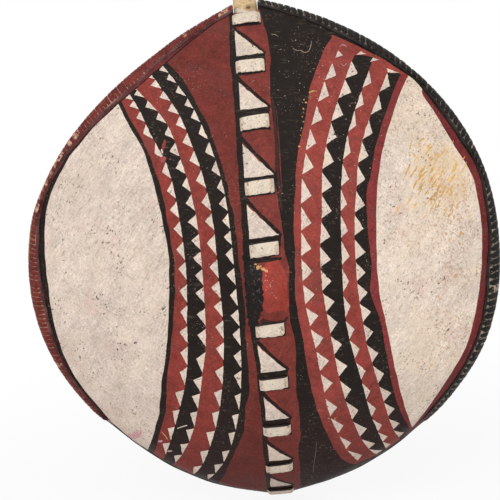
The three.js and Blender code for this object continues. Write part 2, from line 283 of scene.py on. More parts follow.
class Shader:
    """Short hand for the nodes of one material, in the part's own coordinates."""

    def __init__(self, name):
        self.material = bpy.data.materials.new(name)
        self.material.use_nodes = True
        self.tree = self.material.node_tree
        self.tree.nodes.clear()
        self.place = self.add("ShaderNodeTexCoord").outputs["Object"]
        self.x, self.y, self.z = self.add("ShaderNodeSeparateXYZ", {0: self.place}).outputs

    def add(self, kind, inputs=None, **settings):
        made = self.tree.nodes.new(kind)
        for key, value in settings.items():
            setattr(made, key, value)
        for key, value in (inputs or {}).items():
            self.feed(made.inputs[key], value)
        return made

    def feed(self, socket, value):
        if isinstance(value, bpy.types.NodeSocket):
            self.tree.links.new(value, socket)
        else:
            socket.default_value = value

    def math(self, operation, one, two=0.0, three=0.0):
        return self.add("ShaderNodeMath", {0: one, 1: two, 2: three}, operation=operation).outputs[0]

    def product(self, *factors):
        result = factors[0]
        for factor in factors[1:]:
            result = self.math("MULTIPLY", result, factor)
        return result

    def total(self, *terms):
        result = terms[0]
        for term in terms[1:]:
            result = self.math("ADD", result, term)
        return result

    def mix(self, share, one, two, blend="MIX"):
        made = self.add("ShaderNodeMix", data_type="RGBA", blend_type=blend)
        for index, value in ((0, share), (6, one), (7, two)):
            self.feed(made.inputs[index], value)
        return made.outputs[2]

    def noise(self, scale, detail=3.0, roughness=0.55, vector=None):
        made = self.add("ShaderNodeTexNoise", {
            "Vector": vector or self.place, "Scale": scale, "Detail": detail, "Roughness": roughness})
        return made.outputs["Fac"]

    def streaks(self, turn, across, along, detail=4.0, roughness=0.65):
        """Noise drawn out along a direction of the face, with so many waves a metre each way."""
        turned = self.add("ShaderNodeMapping", {"Vector": self.place})
        turned.inputs["Rotation"].default_value = (0.0, math.radians(turn), 0.0)
        drawn = self.add("ShaderNodeMapping", {"Vector": turned.outputs[0], "Scale": (along, across, across)})
        return self.noise(1.0, detail, roughness, drawn.outputs[0])

    def step(self, value, low, high, start=0.0, end=1.0):
        made = self.add("ShaderNodeMapRange", {
            "Value": value, "From Min": low, "From Max": high, "To Min": start, "To Max": end},
            interpolation_type="SMOOTHSTEP")
        return made.outputs["Result"]

    def swing(self, value, gain):
        """A noise of middle 0.5 as a change round zero."""
        return self.math("MULTIPLY_ADD", value, gain, -gain / 2)

    def shade(self, colour, level):
        grey = self.add("ShaderNodeCombineColor", {0: level, 1: level, 2: level}).outputs[0]
        return self.mix(1.0, colour, grey, "MULTIPLY")

    def factor(self, name):
        return self.add("ShaderNodeAttribute", attribute_name=name).outputs["Fac"]

    def colour(self, name):
        return self.add("ShaderNodeAttribute", attribute_name=name).outputs["Color"]

    def spot(self, x, z, half_x, half_z, turn=0.0, ragged=0.5, scale=120.0):
        """A ragged patch round a place on the face, given in millimetres."""
        turn = math.radians(turn)
        across = self.math("SUBTRACT", self.x, x * MM)
        up = self.math("SUBTRACT", self.z, z * MM)
        one = self.math("ADD", self.math("MULTIPLY", across, math.cos(turn) / (half_x * MM)),
                        self.math("MULTIPLY", up, math.sin(turn) / (half_x * MM)))
        two = self.math("SUBTRACT", self.math("MULTIPLY", up, math.cos(turn) / (half_z * MM)),
                        self.math("MULTIPLY", across, math.sin(turn) / (half_z * MM)))
        reach = self.math("SQRT", self.total(self.product(one, one), self.product(two, two)))
        rough = self.swing(self.noise(scale, 3.0), -2 * ragged)
        return self.step(self.math("ADD", reach, rough), 1.15, 0.75)

    def finish(self, colour, roughness, bump, strength=0.4, depth=0.6, specular=0.3):
        shader = self.add("ShaderNodeBsdfPrincipled", {
            "Base Color": colour, "Roughness": roughness, "Specular IOR Level": specular})
        made = self.add("ShaderNodeBump", {"Strength": strength, "Distance": depth * MM, "Height": bump})
        self.tree.links.new(made.outputs[0], shader.inputs["Normal"])
        output = self.add("ShaderNodeOutputMaterial")
        self.tree.links.new(shader.outputs[0], output.inputs["Surface"])
        return self.material


def worn_cream(s, colour, cream, strokes, cross_strokes):
    """Warm and rosy areas, grime and scores in the brush strokes, then clusters of pits and tan specks."""
    warm = s.product(s.step(s.noise(17.0, 4.0, 0.65), 0.46, 0.62), cream, s.step(s.x, -0.1, 0.25, 0.2, 0.4))
    colour = s.mix(warm, colour, linear(236, 214, 184))
    rosy = s.product(s.step(s.noise(27.0, 4.0, 0.7), 0.52, 0.66), cream, 0.4)
    colour = s.mix(rosy, colour, linear(216, 184, 172))
    drawn = s.streaks(50.0, 46.0, 13.0, 4.0, 0.7)
    grime = s.product(s.step(strokes, 0.5, 0.62), s.step(drawn, 0.42, 0.6), cream)
    colour = s.mix(s.product(grime, 0.62), colour, linear(150, 132, 120))
    scored = s.product(s.step(cross_strokes, 0.6, 0.68), s.step(s.noise(19.0, 3.0), 0.48, 0.6), cream, 0.6)
    colour = s.mix(scored, colour, linear(128, 110, 98))
    pits = s.product(s.step(s.streaks(48.0, 390.0, 230.0, 2.0, 0.5), 0.62, 0.68),
                     s.step(s.noise(29.0, 3.0, 0.6), 0.47, 0.6))
    colour = s.mix(s.product(pits, cream, 0.9), colour, linear(84, 66, 56))
    tan = s.product(s.step(s.noise(330.0, 3.0, 0.6), 0.54, 0.63), s.step(s.noise(14.0, 3.0), 0.42, 0.6))
    colour = s.mix(s.product(tan, s.step(s.x, 0.12, 0.21), cream, 0.8), colour, linear(196, 152, 112))
    return colour, pits


def stained_cream(s, colour, cream, grain):
    """A wash of yellow earth at the upper right and a faint pink stain at the lower left."""
    wash = s.spot(236, 118, 34, 44, 30.0, 0.9, 70.0)
    colour = s.mix(s.product(wash, cream, s.step(grain, 0.4, 0.6), 0.5), colour, linear(230, 190, 128))
    stain = s.spot(-194, -213, 16, 6, 38.0, 0.9, 240.0)
    return s.mix(s.product(stain, cream, 0.45), colour, linear(212, 104, 142))


def worn_red_and_black(s, colour, cream, black, mottle):
    """Brushed and rubbed red and black, with small pale nicks."""
    red = s.math("SUBTRACT", 1.0, s.total(cream, black))
    coloured = s.math("SUBTRACT", 1.0, cream)
    brushed = s.product(s.step(s.streaks(-8.0, 360.0, 55.0), 0.54, 0.68), s.step(mottle, 0.4, 0.6))
    colour = s.mix(s.product(brushed, black, 0.5), colour, linear(96, 84, 74))
    colour = s.mix(s.product(brushed, red, 0.22), colour, linear(176, 104, 94))
    dusty = s.product(s.step(s.noise(21.0, 4.0, 0.7), 0.5, 0.66), red, 0.35)
    colour = s.mix(dusty, colour, linear(112, 66, 62))
    nicks = s.product(s.step(s.noise(520.0, 2.0, 0.5), 0.66, 0.71), s.step(s.noise(23.0, 3.0), 0.46, 0.6))
    return s.mix(s.product(nicks, coloured, 0.65), colour, linear(188, 160, 140))


def darker_foot(s, colour, cream):
    """Colour painted darker towards the foot, less so on the cream."""
    low = s.product(s.step(s.z, -0.1, -0.33), s.math("MULTIPLY_ADD", cream, -0.7, 1.0))
    return s.mix(s.product(low, 0.42), colour, linear(54, 26, 24))


def paint_texture(s):
    """Colour, roughness and height of hand-laid paint whose own colour comes with the mesh."""
    cream, black, glossy = s.add("ShaderNodeSeparateColor", {0: s.colour("kind")}).outputs
    mottle = s.noise(52.0, 5.0, 0.68)
    grain = s.noise(460.0, 4.0, 0.72)
    strokes = s.streaks(52.0, 520.0, 95.0)
    cross_strokes = s.streaks(-38.0, 430.0, 80.0)

    # thicker and thinner paint
    level = s.total(1.0, s.swing(s.noise(8.0, 3.0), 0.42), s.swing(mottle, 0.5), s.swing(grain, 0.95),
                    s.swing(strokes, 1.1), s.swing(cross_strokes, 0.7))
    coloured = s.math("SUBTRACT", 1.0, cream)
    level = s.math("MULTIPLY_ADD", s.product(coloured, s.swing(mottle, 1.0)), 0.8, level)

    colour, pits = worn_cream(s, s.shade(s.colour("paint"), level), cream, strokes, cross_strokes)
    colour = stained_cream(s, colour, cream, grain)
    colour = worn_red_and_black(s, colour, cream, black, mottle)
    # colour painted darker towards the foot
    colour = darker_foot(s, colour, cream)

    rough = s.total(s.step(mottle, 0.3, 0.7, 0.52, 0.7), s.product(cream, 0.12))
    rough = s.math("SUBTRACT", rough, s.product(glossy, 0.26))
    height = s.total(s.product(grain, 0.6), s.product(strokes, 0.6), mottle)
    height = s.math("SUBTRACT", height, s.product(pits, 0.4))
    return colour, rough, height


def painted_material():
    s = Shader("hand painted hide")
    colour, rough, height = paint_texture(s)
    return s.finish(colour, rough, height, 0.6, 1.2, 0.12)


def raw_hide_material():
    s = Shader("raw hide back")
    cloud = s.noise(9.0, 4.0, 0.6)
    veins = s.streaks(78.0, 60.0, 22.0)
    grain = s.noise(420.0, 3.0, 0.6)
    colour = s.mix(s.step(cloud, 0.35, 0.7), linear(150, 118, 84), linear(196, 166, 124))
    colour = s.mix(s.step(veins, 0.5, 0.68, 0.0, 0.6), colour, linear(116, 82, 54))
    colour = s.mix(s.step(s.noise(120.0, 4.0, 0.7), 0.54, 0.7, 0.0, 0.5), colour, linear(92, 66, 46))
    colour = s.shade(colour, s.total(1.0, s.swing(grain, 0.8)))
    height = s.math("ADD", s.math("MULTIPLY", grain, 0.4), veins)
    return s.finish(colour, s.step(cloud, 0.3, 0.7, 0.55, 0.8), height, 0.5, 1.0)


def wood_material(name, light, dark):
    """Peeled stick wood with its fibres along the stave."""
    s = Shader(name)
    fibres = s.streaks(90.0, 420.0, 16.0, 5.0)
    broad = s.streaks(90.0, 80.0, 9.0, 3.0, 0.5)
    dirt = s.noise(75.0, 5.0, 0.7)
    colour = s.mix(s.step(fibres, 0.38, 0.64), linear(*light), linear(*dark))
    colour = s.mix(s.step(broad, 0.5, 0.7, 0.0, 0.45), colour, linear(132, 96, 60))
    colour = s.mix(s.step(dirt, 0.56, 0.7, 0.0, 0.45), colour, linear(96, 72, 50))
    knot = s.spot(4.0, 342, 3.4, 1.6, 10.0, 0.35, 260.0)
    ring = s.math("SUBTRACT", s.spot(5.0, 340.5, 8.0, 6.0, 10.0, 0.4, 260.0), knot)
    colour = s.mix(s.math("MULTIPLY", ring, 0.45), colour, linear(150, 106, 58))
    colour = s.mix(s.math("MULTIPLY", knot, 0.85), colour, linear(62, 44, 28))
    # the face's cream paint runs a little way on to the stave's tip
    ragged = s.total(s.z, s.swing(s.noise(170.0, 4.0, 0.7), 0.014), s.math("MULTIPLY", s.x, 0.22))
    smeared = s.product(s.step(ragged, 0.3405, 0.339), s.step(s.z, 0.32, 0.325), s.step(s.y, 0.142, 0.138))
    colour = s.mix(s.math("MULTIPLY", smeared, s.factor("cream_tip")), colour, linear(222, 206, 186))
    height = s.math("SUBTRACT", fibres, s.math("MULTIPLY", knot, 0.6))
    return s.finish(colour, s.step(dirt, 0.3, 0.7, 0.5, 0.72), height, 0.5, 0.7)


def leather_material():
    s = Shader("worn grip leather")
    cloud = s.noise(40.0, 4.0, 0.6)
    pores = s.add("ShaderNodeTexVoronoi", {"Vector": s.place, "Scale": 900.0}).outputs["Distance"]
    colour = s.mix(s.step(cloud, 0.35, 0.68), linear(64, 40, 26), linear(112, 74, 46))
    worn = s.product(s.factor("edge"), s.step(cloud, 0.35, 0.6))
    colour = s.mix(worn, colour, linear(150, 108, 72))
    return s.finish(colour, s.step(cloud, 0.3, 0.7, 0.38, 0.65), pores, 0.3, 0.4, 0.4)


def strap_material():
    """Cream-painted rawhide, rubbed to tan where it turns into its slits."""
    s = Shader("cream painted strap")
    cloud = s.noise(60.0, 4.0, 0.6)
    grain = s.noise(430.0, 4.0, 0.7)
    strokes = s.streaks(48.0, 460.0, 90.0)
    level = s.total(1.0, s.swing(grain, 0.8), s.swing(strokes, 0.6), s.swing(cloud, 0.5))
    painted = s.shade(linear(226, 210, 190), level)
    painted = s.mix(s.step(strokes, 0.57, 0.68, 0.0, 0.45), painted, linear(164, 146, 130))
    painted = s.mix(s.step(s.noise(380.0, 2.0, 0.5), 0.65, 0.7, 0.0, 0.8), painted, linear(84, 70, 62))
    bare = s.mix(s.step(cloud, 0.35, 0.65), linear(196, 160, 116), linear(150, 112, 74))
    worn = s.product(s.factor("fold"), s.step(s.noise(210.0, 3.0, 0.6), 0.44, 0.58), 0.75)
    colour = s.mix(s.factor("front"), bare, painted)
    colour = s.mix(worn, colour, linear(190, 140, 104))
    cracks = s.product(s.factor("fold"), s.step(s.noise(330.0, 3.0, 0.6), 0.56, 0.62), 0.8)
    colour = s.mix(cracks, colour, linear(70, 50, 42))
    colour = s.mix(s.factor("line"), colour, s.shade(linear(44, 36, 32), level))
    height = s.math("ADD", s.math("MULTIPLY", grain, 0.6), strokes)
    return s.finish(colour, s.step(cloud, 0.3, 0.7, 0.6, 0.78), height, 0.5, 0.8, 0.25)


def rim_material(name, hide, strip, crest_colour, gap_colour, bare):
    """Painted rim hide, worn on the wraps' crests and dusty in the gaps between them; the wraps' pale upper
    edges are wear and painted highlight.

    Each of hide, strip and bare is a pair of colours. Towards the foot the face's paint runs over it, and its
    outside is painted dark, partly as shade where the hide rolls back.
    """
    s = Shader(name)
    cloud = s.noise(80.0, 5.0, 0.65)
    grain = s.noise(440.0, 3.0, 0.65)
    colour = s.mix(s.step(cloud, 0.35, 0.66), linear(*hide[0]), linear(*hide[1]))
    smooth_strip = s.mix(s.step(cloud, 0.38, 0.62), linear(*strip[0]), linear(*strip[1]))
    colour = s.mix(s.factor("strip"), colour, smooth_strip)
    colour = s.shade(colour, s.total(1.0, s.swing(grain, 0.9), s.swing(cloud, 0.5)))
    # crests worn pale, and upper edges painted pale as wear and highlight
    worn = s.product(s.factor("worn_and_lit_crest"), s.step(s.noise(190.0, 4.0, 0.65), 0.42, 0.56))
    colour = s.mix(worn, colour, linear(*crest_colour))
    dust = s.product(s.factor("gap"), s.step(s.noise(110.0, 4.0, 0.6), 0.38, 0.48))
    colour = s.mix(dust, colour, linear(*gap_colour))
    worn_through = s.mix(s.step(cloud, 0.4, 0.62), linear(*bare[0]), linear(*bare[1]))
    colour = s.mix(s.product(s.factor("bare"), s.step(s.noise(90.0, 3.0), 0.3, 0.42)), colour, worn_through)
    painted, rough, height = paint_texture(s)
    colour = s.mix(s.factor("cover"), colour, painted)
    # the rim's outside at the foot: dark edge, partly painted shade
    colour = s.mix(s.factor("dark"), colour, linear(36, 26, 25))
    rough = s.math("ADD", s.math("MULTIPLY", rough, 0.5), s.step(cloud, 0.3, 0.7, 0.2, 0.32))
    return s.finish(colour, rough, s.math("ADD", height, cloud), 0.45, 0.7, 0.18)


# Shapes painted on the face

def curve(knots):
    """A smooth x over v through given (x, v) knots, straight beyond them."""
    knots = sorted(knots, key=lambda k: k[1])
    at = np.array([k[1] for k in knots], float)
    value = np.array([k[0] for k in knots], float)
    slope = np.gradient(value, at)

    def evaluate(v):
        v = np.asarray(v, float)
        i = np.clip(np.searchsorted(at, v) - 1, 0, len(at) - 2)
        width = at[i + 1] - at[i]
        t = np.clip((v - at[i]) / width, 0, 1)
        inside = value[i] * (1 + 2 * t) * (1 - t) ** 2 + value[i + 1] * t * t * (3 - 2 * t)
        inside = inside + width * t * (1 - t) * (slope[i] * (1 - t) - slope[i + 1] * t)
        inside = inside + np.where(v < at[0], (v - at[0]) * slope[0], 0)
        return inside + np.where(v > at[-1], (v - at[-1]) * slope[-1], 0)
    return evaluate


def wobble(count, size):
    """Hand tremor: smoothed noise with that many steps, of about that size."""
    rough = rng.normal(0, 1, count + 6)
    return size * np.convolve(rough, [0.2, 0.3, 0.3, 0.2], "valid")[:count] * 1.9


PAGE = 430.0
FAR = 400.0
THINNEST = 0.12


def side_of(knots, side=1, tremor=0.5):
    """Everything to one side of a line down the whole face."""
    v = np.arange(-PAGE, PAGE + 1, 5.0)
    x = curve(knots)(v) + wobble(len(v), tremor)
    return [(side * FAR, PAGE)] + list(zip(x[::-1], v[::-1])) + [(side * FAR, -PAGE)]


def between(left, right, low, high, tremor=0.4):
    """Everything between two lines, from low to high."""
    v = np.linspace(low, high, max(int((high - low) / 5), 2) + 1)
    one = list(zip(curve(left)(v) + wobble(len(v), tremor), v))
    two = list(zip(curve(right)(v) + wobble(len(v), tremor), v))
    return two + one[::-1]


def stroke(points, width, tremor=0.35):
    """A brush line of about that width through the points."""
    points = np.asarray(points, float)
    lengths = np.r_[0, np.cumsum(np.hypot(*np.diff(points, axis=0).T))]
    steps = max(int(lengths[-1] / 4), 2)
    s = np.linspace(0, lengths[-1], steps + 1)
    line = np.stack([np.interp(s, lengths, points[:, 0]), np.interp(s, lengths, points[:, 1])], 1)
    along = np.gradient(line, axis=0)
    along /= np.hypot(along[:, 0], along[:, 1])[:, None]
    aside = np.stack([-along[:, 1], along[:, 0]], 1)
    half = np.broadcast_to(np.interp(s, lengths, np.broadcast_to(width, len(points))), s.shape) / 2
    upper = line + aside * np.maximum(half + wobble(len(s), tremor), THINNEST)[:, None]
    lower = line - aside * np.maximum(half + wobble(len(s), tremor), THINNEST)[:, None]
    return [tuple(p) for p in lower] + [tuple(p) for p in upper[::-1]]


def blob(x, v, half_x, half_v, turn=0.0, points=9, ragged=0.25):
    """A ragged dab round a place, turned by that many degrees."""
    angle = np.linspace(0, 2 * np.pi, points, endpoint=False)
    reach = 1 + rng.normal(0, ragged, points).clip(-0.6, 0.6)
    turn = math.radians(turn)
    one = half_x * reach * np.cos(angle)
    two = half_v * reach * np.sin(angle)
    return list(zip(x + one * math.cos(turn) - two * math.sin(turn),
                    v + one * math.sin(turn) + two * math.cos(turn)))


def hand_cut(corners, tremor=0.4, step=4.0, hollows=None):
    """A polygon whose sides wander a little, each drawn in by a share of its length."""
    middle = np.mean(corners, axis=0)
    out = []
    for start, end, hollow in zip(corners, corners[1:] + corners[:1], hollows or [0.0] * len(corners)):
        start, end = np.array(start, float), np.array(end, float)
        length = max(np.hypot(*(end - start)), 0.01)
        aside = np.array([start[1] - end[1], end[0] - start[0]]) / length
        inward = aside if np.dot(aside, middle - start) > 0 else -aside
        count = max(int(length / step), 1)
        for k in range(count):
            t = k / count
            off = rng.normal(0, tremor) if k else 0.0
            drawn_in = hollow * length * 4 * t * (1 - t)
            out.append(tuple(start + (end - start) * t + aside * off + inward * drawn_in))
    return out


# name: (colour, (share of cream, share of black, gloss))
PAINTS = {
    "cream": ((228, 210, 195), (1, 0, 0)),
    "cream right": ((236, 218, 201), (1, 0, 0)),
    "red": ((140, 59, 51), (0, 0, 0)),
    "red right": ((149, 66, 58), (0, 0, 0)),
    "border red": ((134, 54, 52), (0, 0, 0)),
    "dark red": ((114, 49, 42), (0, 0, 0)),
    "strip red": ((126, 56, 49), (0, 0, 0)),
    # the boss's red, painted brighter partly as a highlight on its raise
    "boss red and highlight": ((162, 63, 52), (0, 0, 1)),
    "maroon": ((110, 42, 42), (0, 0, 0)),
    "black": ((33, 26, 22), (0, 1, 0)),
    # also painted into the strap slits as their shadow
    "boss black and slit shadow": ((27, 23, 22), (0, 1, 1)),
    "brown black": ((66, 40, 36), (0, 1, 0)),
    # painted highlights on the boss's black patch, and a rubbed line low on the right
    "rubbed and highlit black": ((92, 86, 82), (0, 1, 1)),
    "pink": ((168, 80, 78), (0, 0, 0)),
    "rose": ((226, 178, 178), (0, 0, 0)),
    "pale": ((204, 180, 156), (0, 0, 0)),
    "orange": ((206, 152, 100), (0, 0, 0)),
    "ochre": ((224, 178, 100), (0.3, 0, 0)),
    "grey": ((128, 116, 108), (0, 0, 0)),
}

# knots (x, v) of the painted lines, from the top down
LEFT_BORDER_OUTER = [(-172, 248), (-165, 230), (-148, 197), (-135, 158), (-128, 120), (-123, 82), (-120, 44),
                     (-123, 5), (-128, -34), (-135, -76), (-144, -120), (-153, -169), (-162, -205),
                     (-181, -257), (-186, -275)]
LEFT_BORDER_INNER = [(-166, 248), (-159, 230), (-142, 197), (-129, 158), (-121, 120), (-117, 82), (-114, 44),
                     (-116, 5), (-121, -34), (-129, -76), (-137, -120), (-145, -169), (-155, -205),
                     (-171, -257), (-177, -275)]
LEFT_BASES = [
    [(-154, 255), (-145.6, 239), (-131, 202), (-118, 176), (-110, 149), (-103.6, 100), (-101, 72), (-100, 45),
     (-100, 20), (-104.5, -38), (-109, -96), (-115, -128), (-125, -163), (-143, -222), (-152.8, -252)],
    [(-139, 256), (-122.6, 236), (-111, 218), (-97, 174), (-86.5, 130), (-80.3, 80), (-79.6, 37),
     (-80, -14), (-84, -76), (-90.5, -109), (-102, -167), (-119, -227), (-140.5, -270)],
    [(-116, 267), (-95, 230), (-80, 186), (-66.4, 132), (-60.6, 79), (-59.7, 19), (-58.7, -32),
     (-62, -91), (-73, -165), (-92, -238), (-106, -277), (-120, -303)],
    [(-96.6, 273), (-84.3, 253), (-69, 219), (-53.3, 170), (-44.2, 124), (-41, 83), (-39.7, 36),
     (-38.8, -19), (-39, -72), (-43, -135), (-55, -206), (-75.6, -270), (-99, -313)],
]
LEFT_FIELD = [(-106, 302), (-90, 281), (-75, 253), (-63, 225), (-52, 192), (-43, 153), (-37, 115), (-35, 78),
              (-32, 40), (-30, 2), (-30, -38), (-31, -79), (-32, -123), (-39, -171), (-44, -206), (-57, -244),
              (-72, -288), (-85, -325)]
# v of each triangle's middle, one list for each base
LEFT_CENTRES = [
    [256, 244, 228, 208, 182, 157, 132, 107, 82, 55, 30, 1, -27, -54, -84, -114, -148, -180, -210, -240],
    [268, 259, 242, 225, 205, 183, 161, 138, 115, 90, 66, 44, 21, -2, -31, -59, -94, -126, -153, -183, -212,
     -239, -262],
    [284, 271, 254, 236, 217, 194, 170, 144, 115, 90, 61, 31, 4, -21, -49, -79, -114, -149, -185, -220, -257,
     -290],
    [292, 278, 260, 242, 225, 204, 180, 156, 133, 112, 90, 69, 46, 20, -7, -34, -60, -91, -122, -156, -190,
     -221, -256, -283, -306],
]
# how far the triangles of each base reach, and (share down from their top, v) of their tips
LEFT_REACHES = (9, 9.4, 10, 8.5)
LEFT_APEX = [(0.6, 290), (0.6, 160), (0.4, 60), (0.35, 0), (0.3, -100), (0.14, -160), (0.12, -300)]
LEFT_FIELD_EDGE = [(-70, 335), (-105, 302), (-114, 294), (-125, 285), (-136, 275), (-146, 267), (-158, 257),
                   (-169, 248), (-182, 236), (-196, 224), (-210, 211), (-223, 197), (-238, 180), (-250, 162),
                   (-273, 120), (-281, 81), (-285, 42), (-284, 1), (-283, -40), (-276, -83), (-261, -128),
                   (-233, -177), (-212, -215), (-200, -234), (-176, -256), (-144, -290), (-101, -330),
                   (-53, -370), (-13, -400)]
# (width, v) of the black line between the left cream field and the rim
RIM_LINE_WIDTH = [(3, 335), (3, 285), (3, 236), (3.5, 197), (5, 162), (7, 120), (8, 81), (8, 42), (8, 1),
                  (5.5, -40), (5, -83), (4, -128), (3.5, -177), (3, -215), (3, -300), (3, -400)]

RED_STRIP_EDGE = [(20, 395), (21, 358), (25, 334), (26, 294), (24, 272), (23, 239), (23, 186), (21, 149),
                  (20.5, 130), (22, 112), (24, 93), (25, 68), (25.5, 46), (28, 32), (27, 10), (26, -15),
                  (26.5, -45), (30, -72), (29, -129), (30, -178), (31, -213), (27, -253), (28, -299), (27, -390)]
BLACK_BAND_EDGE = [(116, 335), (106, 319), (100, 310), (94, 298), (88, 286), (83, 275), (78, 264), (74, 254),
                   (71, 242), (68, 228), (65, 216), (59, 196), (52, 172), (46, 141), (42, 110), (39, 79),
                   (37, 42), (36, 20), (35, -16), (38, -44), (42, -86), (47, -131), (55, -181), (64, -218),
                   (78, -262), (88, -285), (100, -298), (118, -308)]
RIGHT_BASES = [
    [(114, 300), (104, 281), (92, 257), (80, 227), (69, 197), (61, 168), (54.6, 141), (48.4, 75), (46, 44),
     (45.4, 9), (46.7, -20), (51, -52), (56, -81), (64.7, -150), (70, -188), (81, -226), (92, -261),
     (105, -286)],
    [(136, 294), (130, 283), (121, 263), (97.6, 207), (89, 180), (80.5, 147), (75, 87), (70.4, 53), (69, 25),
     (69.4, -6), (72.7, -33), (80, -94), (85, -130), (101, -204), (111, -238), (124, -269), (133, -283)],
    [(158, 283), (142, 248), (118, 192), (108, 159), (102.5, 125), (97.5, 60), (96.5, 26), (96.5, -43),
     (100, -74), (106, -103), (113, -134), (126, -200), (135, -231), (142, -255)],
    [(178, 268), (166, 244), (148, 209), (126, 151), (122, 122), (117, 89), (114, 30), (114.3, 2),
     (116, -27), (119, -53), (122, -82), (129, -115), (144, -180), (157, -234), (166, -257)],
]
RIGHT_CENTRES = [
    [271, 245, 214, 184, 154, 120, 86, 54, 22, -10, -40, -71, -104, -138, -178, -212, -247, -278],
    [271, 246, 217, 189, 159, 128, 98, 66, 36, 6, -23, -52, -83, -115, -152, -188, -224, -257, -278],
    [256, 228, 202, 169, 135, 104, 71, 38, 3, -32, -64, -92, -126, -159, -190, -222, -247, -268],
    [249, 220, 189, 161, 132, 100, 71, 40, 12, -16, -43, -71, -102, -135, -168, -196, -225, -248],
]
RIGHT_REACHES = (12.5, 12.5, 8.5, 11.5)
RIGHT_APEX = [(0.78, 290), (0.72, 150), (0.67, 30), (0.54, -10), (0.52, -120), (0.58, -290)]
RIGHT_BORDER_INNER = [(195, 262), (177, 230), (165, 204), (153, 173), (141, 136), (132, 100), (132, 62),
                      (133.5, 24), (131, -15), (141, -57), (147, -101), (154, -148), (166, -202), (184, -248)]
RIGHT_FIELD_EDGE = [(204, 257), (202, 254), (187, 229), (175, 203), (162, 172), (152, 135), (145, 98),
                    (143, 61), (141, 23), (142, -16), (148, -58), (155, -102), (163, -150), (174, -204),
                    (185, -243)]
RIGHT_RIM_INNER = [(107, 326), (112, 313), (121, 300), (131, 292), (144, 290), (157, 286), (166, 276),
                   (177, 266), (189, 259), (204, 254), (219, 225), (234, 196), (251, 161), (274, 118), (283, 78),
                   (286, 38), (284, -2), (279, -42), (271, -83), (257, -125), (232, -167), (203, -214),
                   (186, -243), (172, -262), (148, -288), (118, -294), (104, -300), (78, -330), (60, -400)]
RIGHT_RIM_OUTER = [(107, 326), (118, 319), (130, 311), (143, 302), (155, 293), (167, 285),
                   (179, 275), (192, 263), (205, 252), (224, 224), (243, 195), (263, 159), (284, 118), (292, 76),
                   (295, 35), (292, -3), (288, -44), (281, -86), (267, -128), (243, -172), (210, -218),
                   (192, -243), (176, -262), (150, -289), (119, -296), (106, -304), (80, -330), (60, -400)]
# what shows of the first triangles under the rim's line, and the small one before them
HALF_HIDDEN_TRIANGLES = [[(136, 291), (150, 291), (143, 296)], [(153, 279), (158, 285), (166, 281)],
                         [(175, 262), (174, 268), (191, 259)], [(113.5, 300), (119, 292.5), (109, 290)]]
TOP_RED_END = 248
FOOT_EDGE_TOP = -185
# (inset from the edge, x) of the dark line along the foot, partly painted shade
FOOT_EDGE_INSET = [(4.5, -240), (5.5, -160), (10.5, -120), (18.5, -80), (25, -40), (30, 0), (25, 40), (20, 80),
                   (14, 120), (9, 160), (6.5, 200), (4.5, 240)]

# the black patch that covers the left of the boss, and the chips in its paint as (x, v, half x, half v)
BOSS_PATCH = [(-27, 47), (-18, 44), (-12, 40), (-7, 30), (-5, 20), (-6, 10), (-5, -4), (-7, -20), (-10, -27),
              (-12, -36), (-15, -46), (-27, -46)]
BOSS_CHIPS = [(-8, 31, 3.6, 2.2), (-3, 29, 2.4, 1.8), (0, 26.5, 2.0, 1.6), (-12, 34, 1.6, 1.0)]
# orange specks beside the black band, and the second edge of the red strip
BAND_SPECKS = [(64, 236), (66, 232), (62, 224), (60, 214), (61, 207), (58, 199), (56, 190), (62, 219),
               (53, 176)]
DOUBLE_EDGE = [(24, 246), (25.2, 226), (25.4, 190), (24.2, 152), (24.6, 120), (25.5, 98)]
DOUBLE_EDGE_LIGHT = [(28.5, 226), (28.6, 190), (27.4, 152), (27.4, 122)]
PALE_CURL = [(56, 310), (60, 305), (65, 306), (70, 301), (75, 302), (79, 309), (81, 318)]
OCHRE_SPOTS = [(205, 165), (196, 150), (262, 96), (270, 60), (258, 40)]

COLUMN_LINE_OUTER = [(-21, 400), (-23, 340), (-24, 300), (-24.5, 220), (-25, 150), (-26, 60), (-27, 0),
                     (-25, -60), (-21.5, -110), (-20, -160), (-19.5, -260), (-20, -400)]
COLUMN_LINE_INNER = [(-15, 400), (-16, 340), (-16.5, 300), (-17, 220), (-17.5, 150), (-18, 60), (-19, 0),
                     (-18, -60), (-15, -110), (-14, -160), (-13.5, -260), (-13.5, -400)]
# top, base and reach of each triangle on the column
COLUMN_TRIANGLES = [(347, 304, 18), (268, 229, 18), (187, 142, 19), (111, 66, 20), (-73, -113, 17),
                    (-150, -190, 17), (-233, -270, 17), (-310, -343, 16)]
# how far the painted front of each strap stands above its lashing, from the top down
STRAP_SHIFTS = (-2, 0, 2.5, -1, 0, 0, 1.5, 3, 4.5, 7)


def column_of_triangles(base, centres, direction, reach, share, apex):
    """Hand-painted triangles whose bases stand on a line. Apex has (share, v) knots."""
    line, apex = curve(base), curve(apex)
    out = []
    for i, centre in enumerate(centres):
        above = centres[i - 1] - centre if i else centre - centres[1]
        below = centre - centres[i + 1] if i + 1 < len(centres) else above
        half = (above + below) / 4 * share * (1 + rng.normal(0, 0.04))
        top, bottom = centre + half, centre - half
        at = top - float(apex(centre)) * 2 * half
        far = float(line(at)) + direction * reach * (1 + rng.normal(0, 0.07))
        corners = [(float(line(top)) - direction * 0.4, top), (far, at),
                   (float(line(bottom)) - direction * 0.4, bottom)]
        out.append(hand_cut(corners, 0.22, 3.5))
    return out


def lashing_places():
    """Where the straps cross the spine, from the top down."""
    upper = [FIRST_LASHING + k * LASHING_PITCH for k in range(5)]
    return upper[::-1] + [-place for place in upper]


def bands(paints, edges):
    """Each paint covers everything to the right of its edge."""
    return [(paint, side_of(edge, 1, 0.35)) for paint, edge in zip(paints, edges)]


def triangle_columns(bases, centres, reaches, direction, share, apex):
    """Four columns of cream triangles."""
    return [("cream", polygon) for base, places, reach in zip(bases, centres, reaches)
            for polygon in column_of_triangles(base, places, direction, reach, share, apex)]


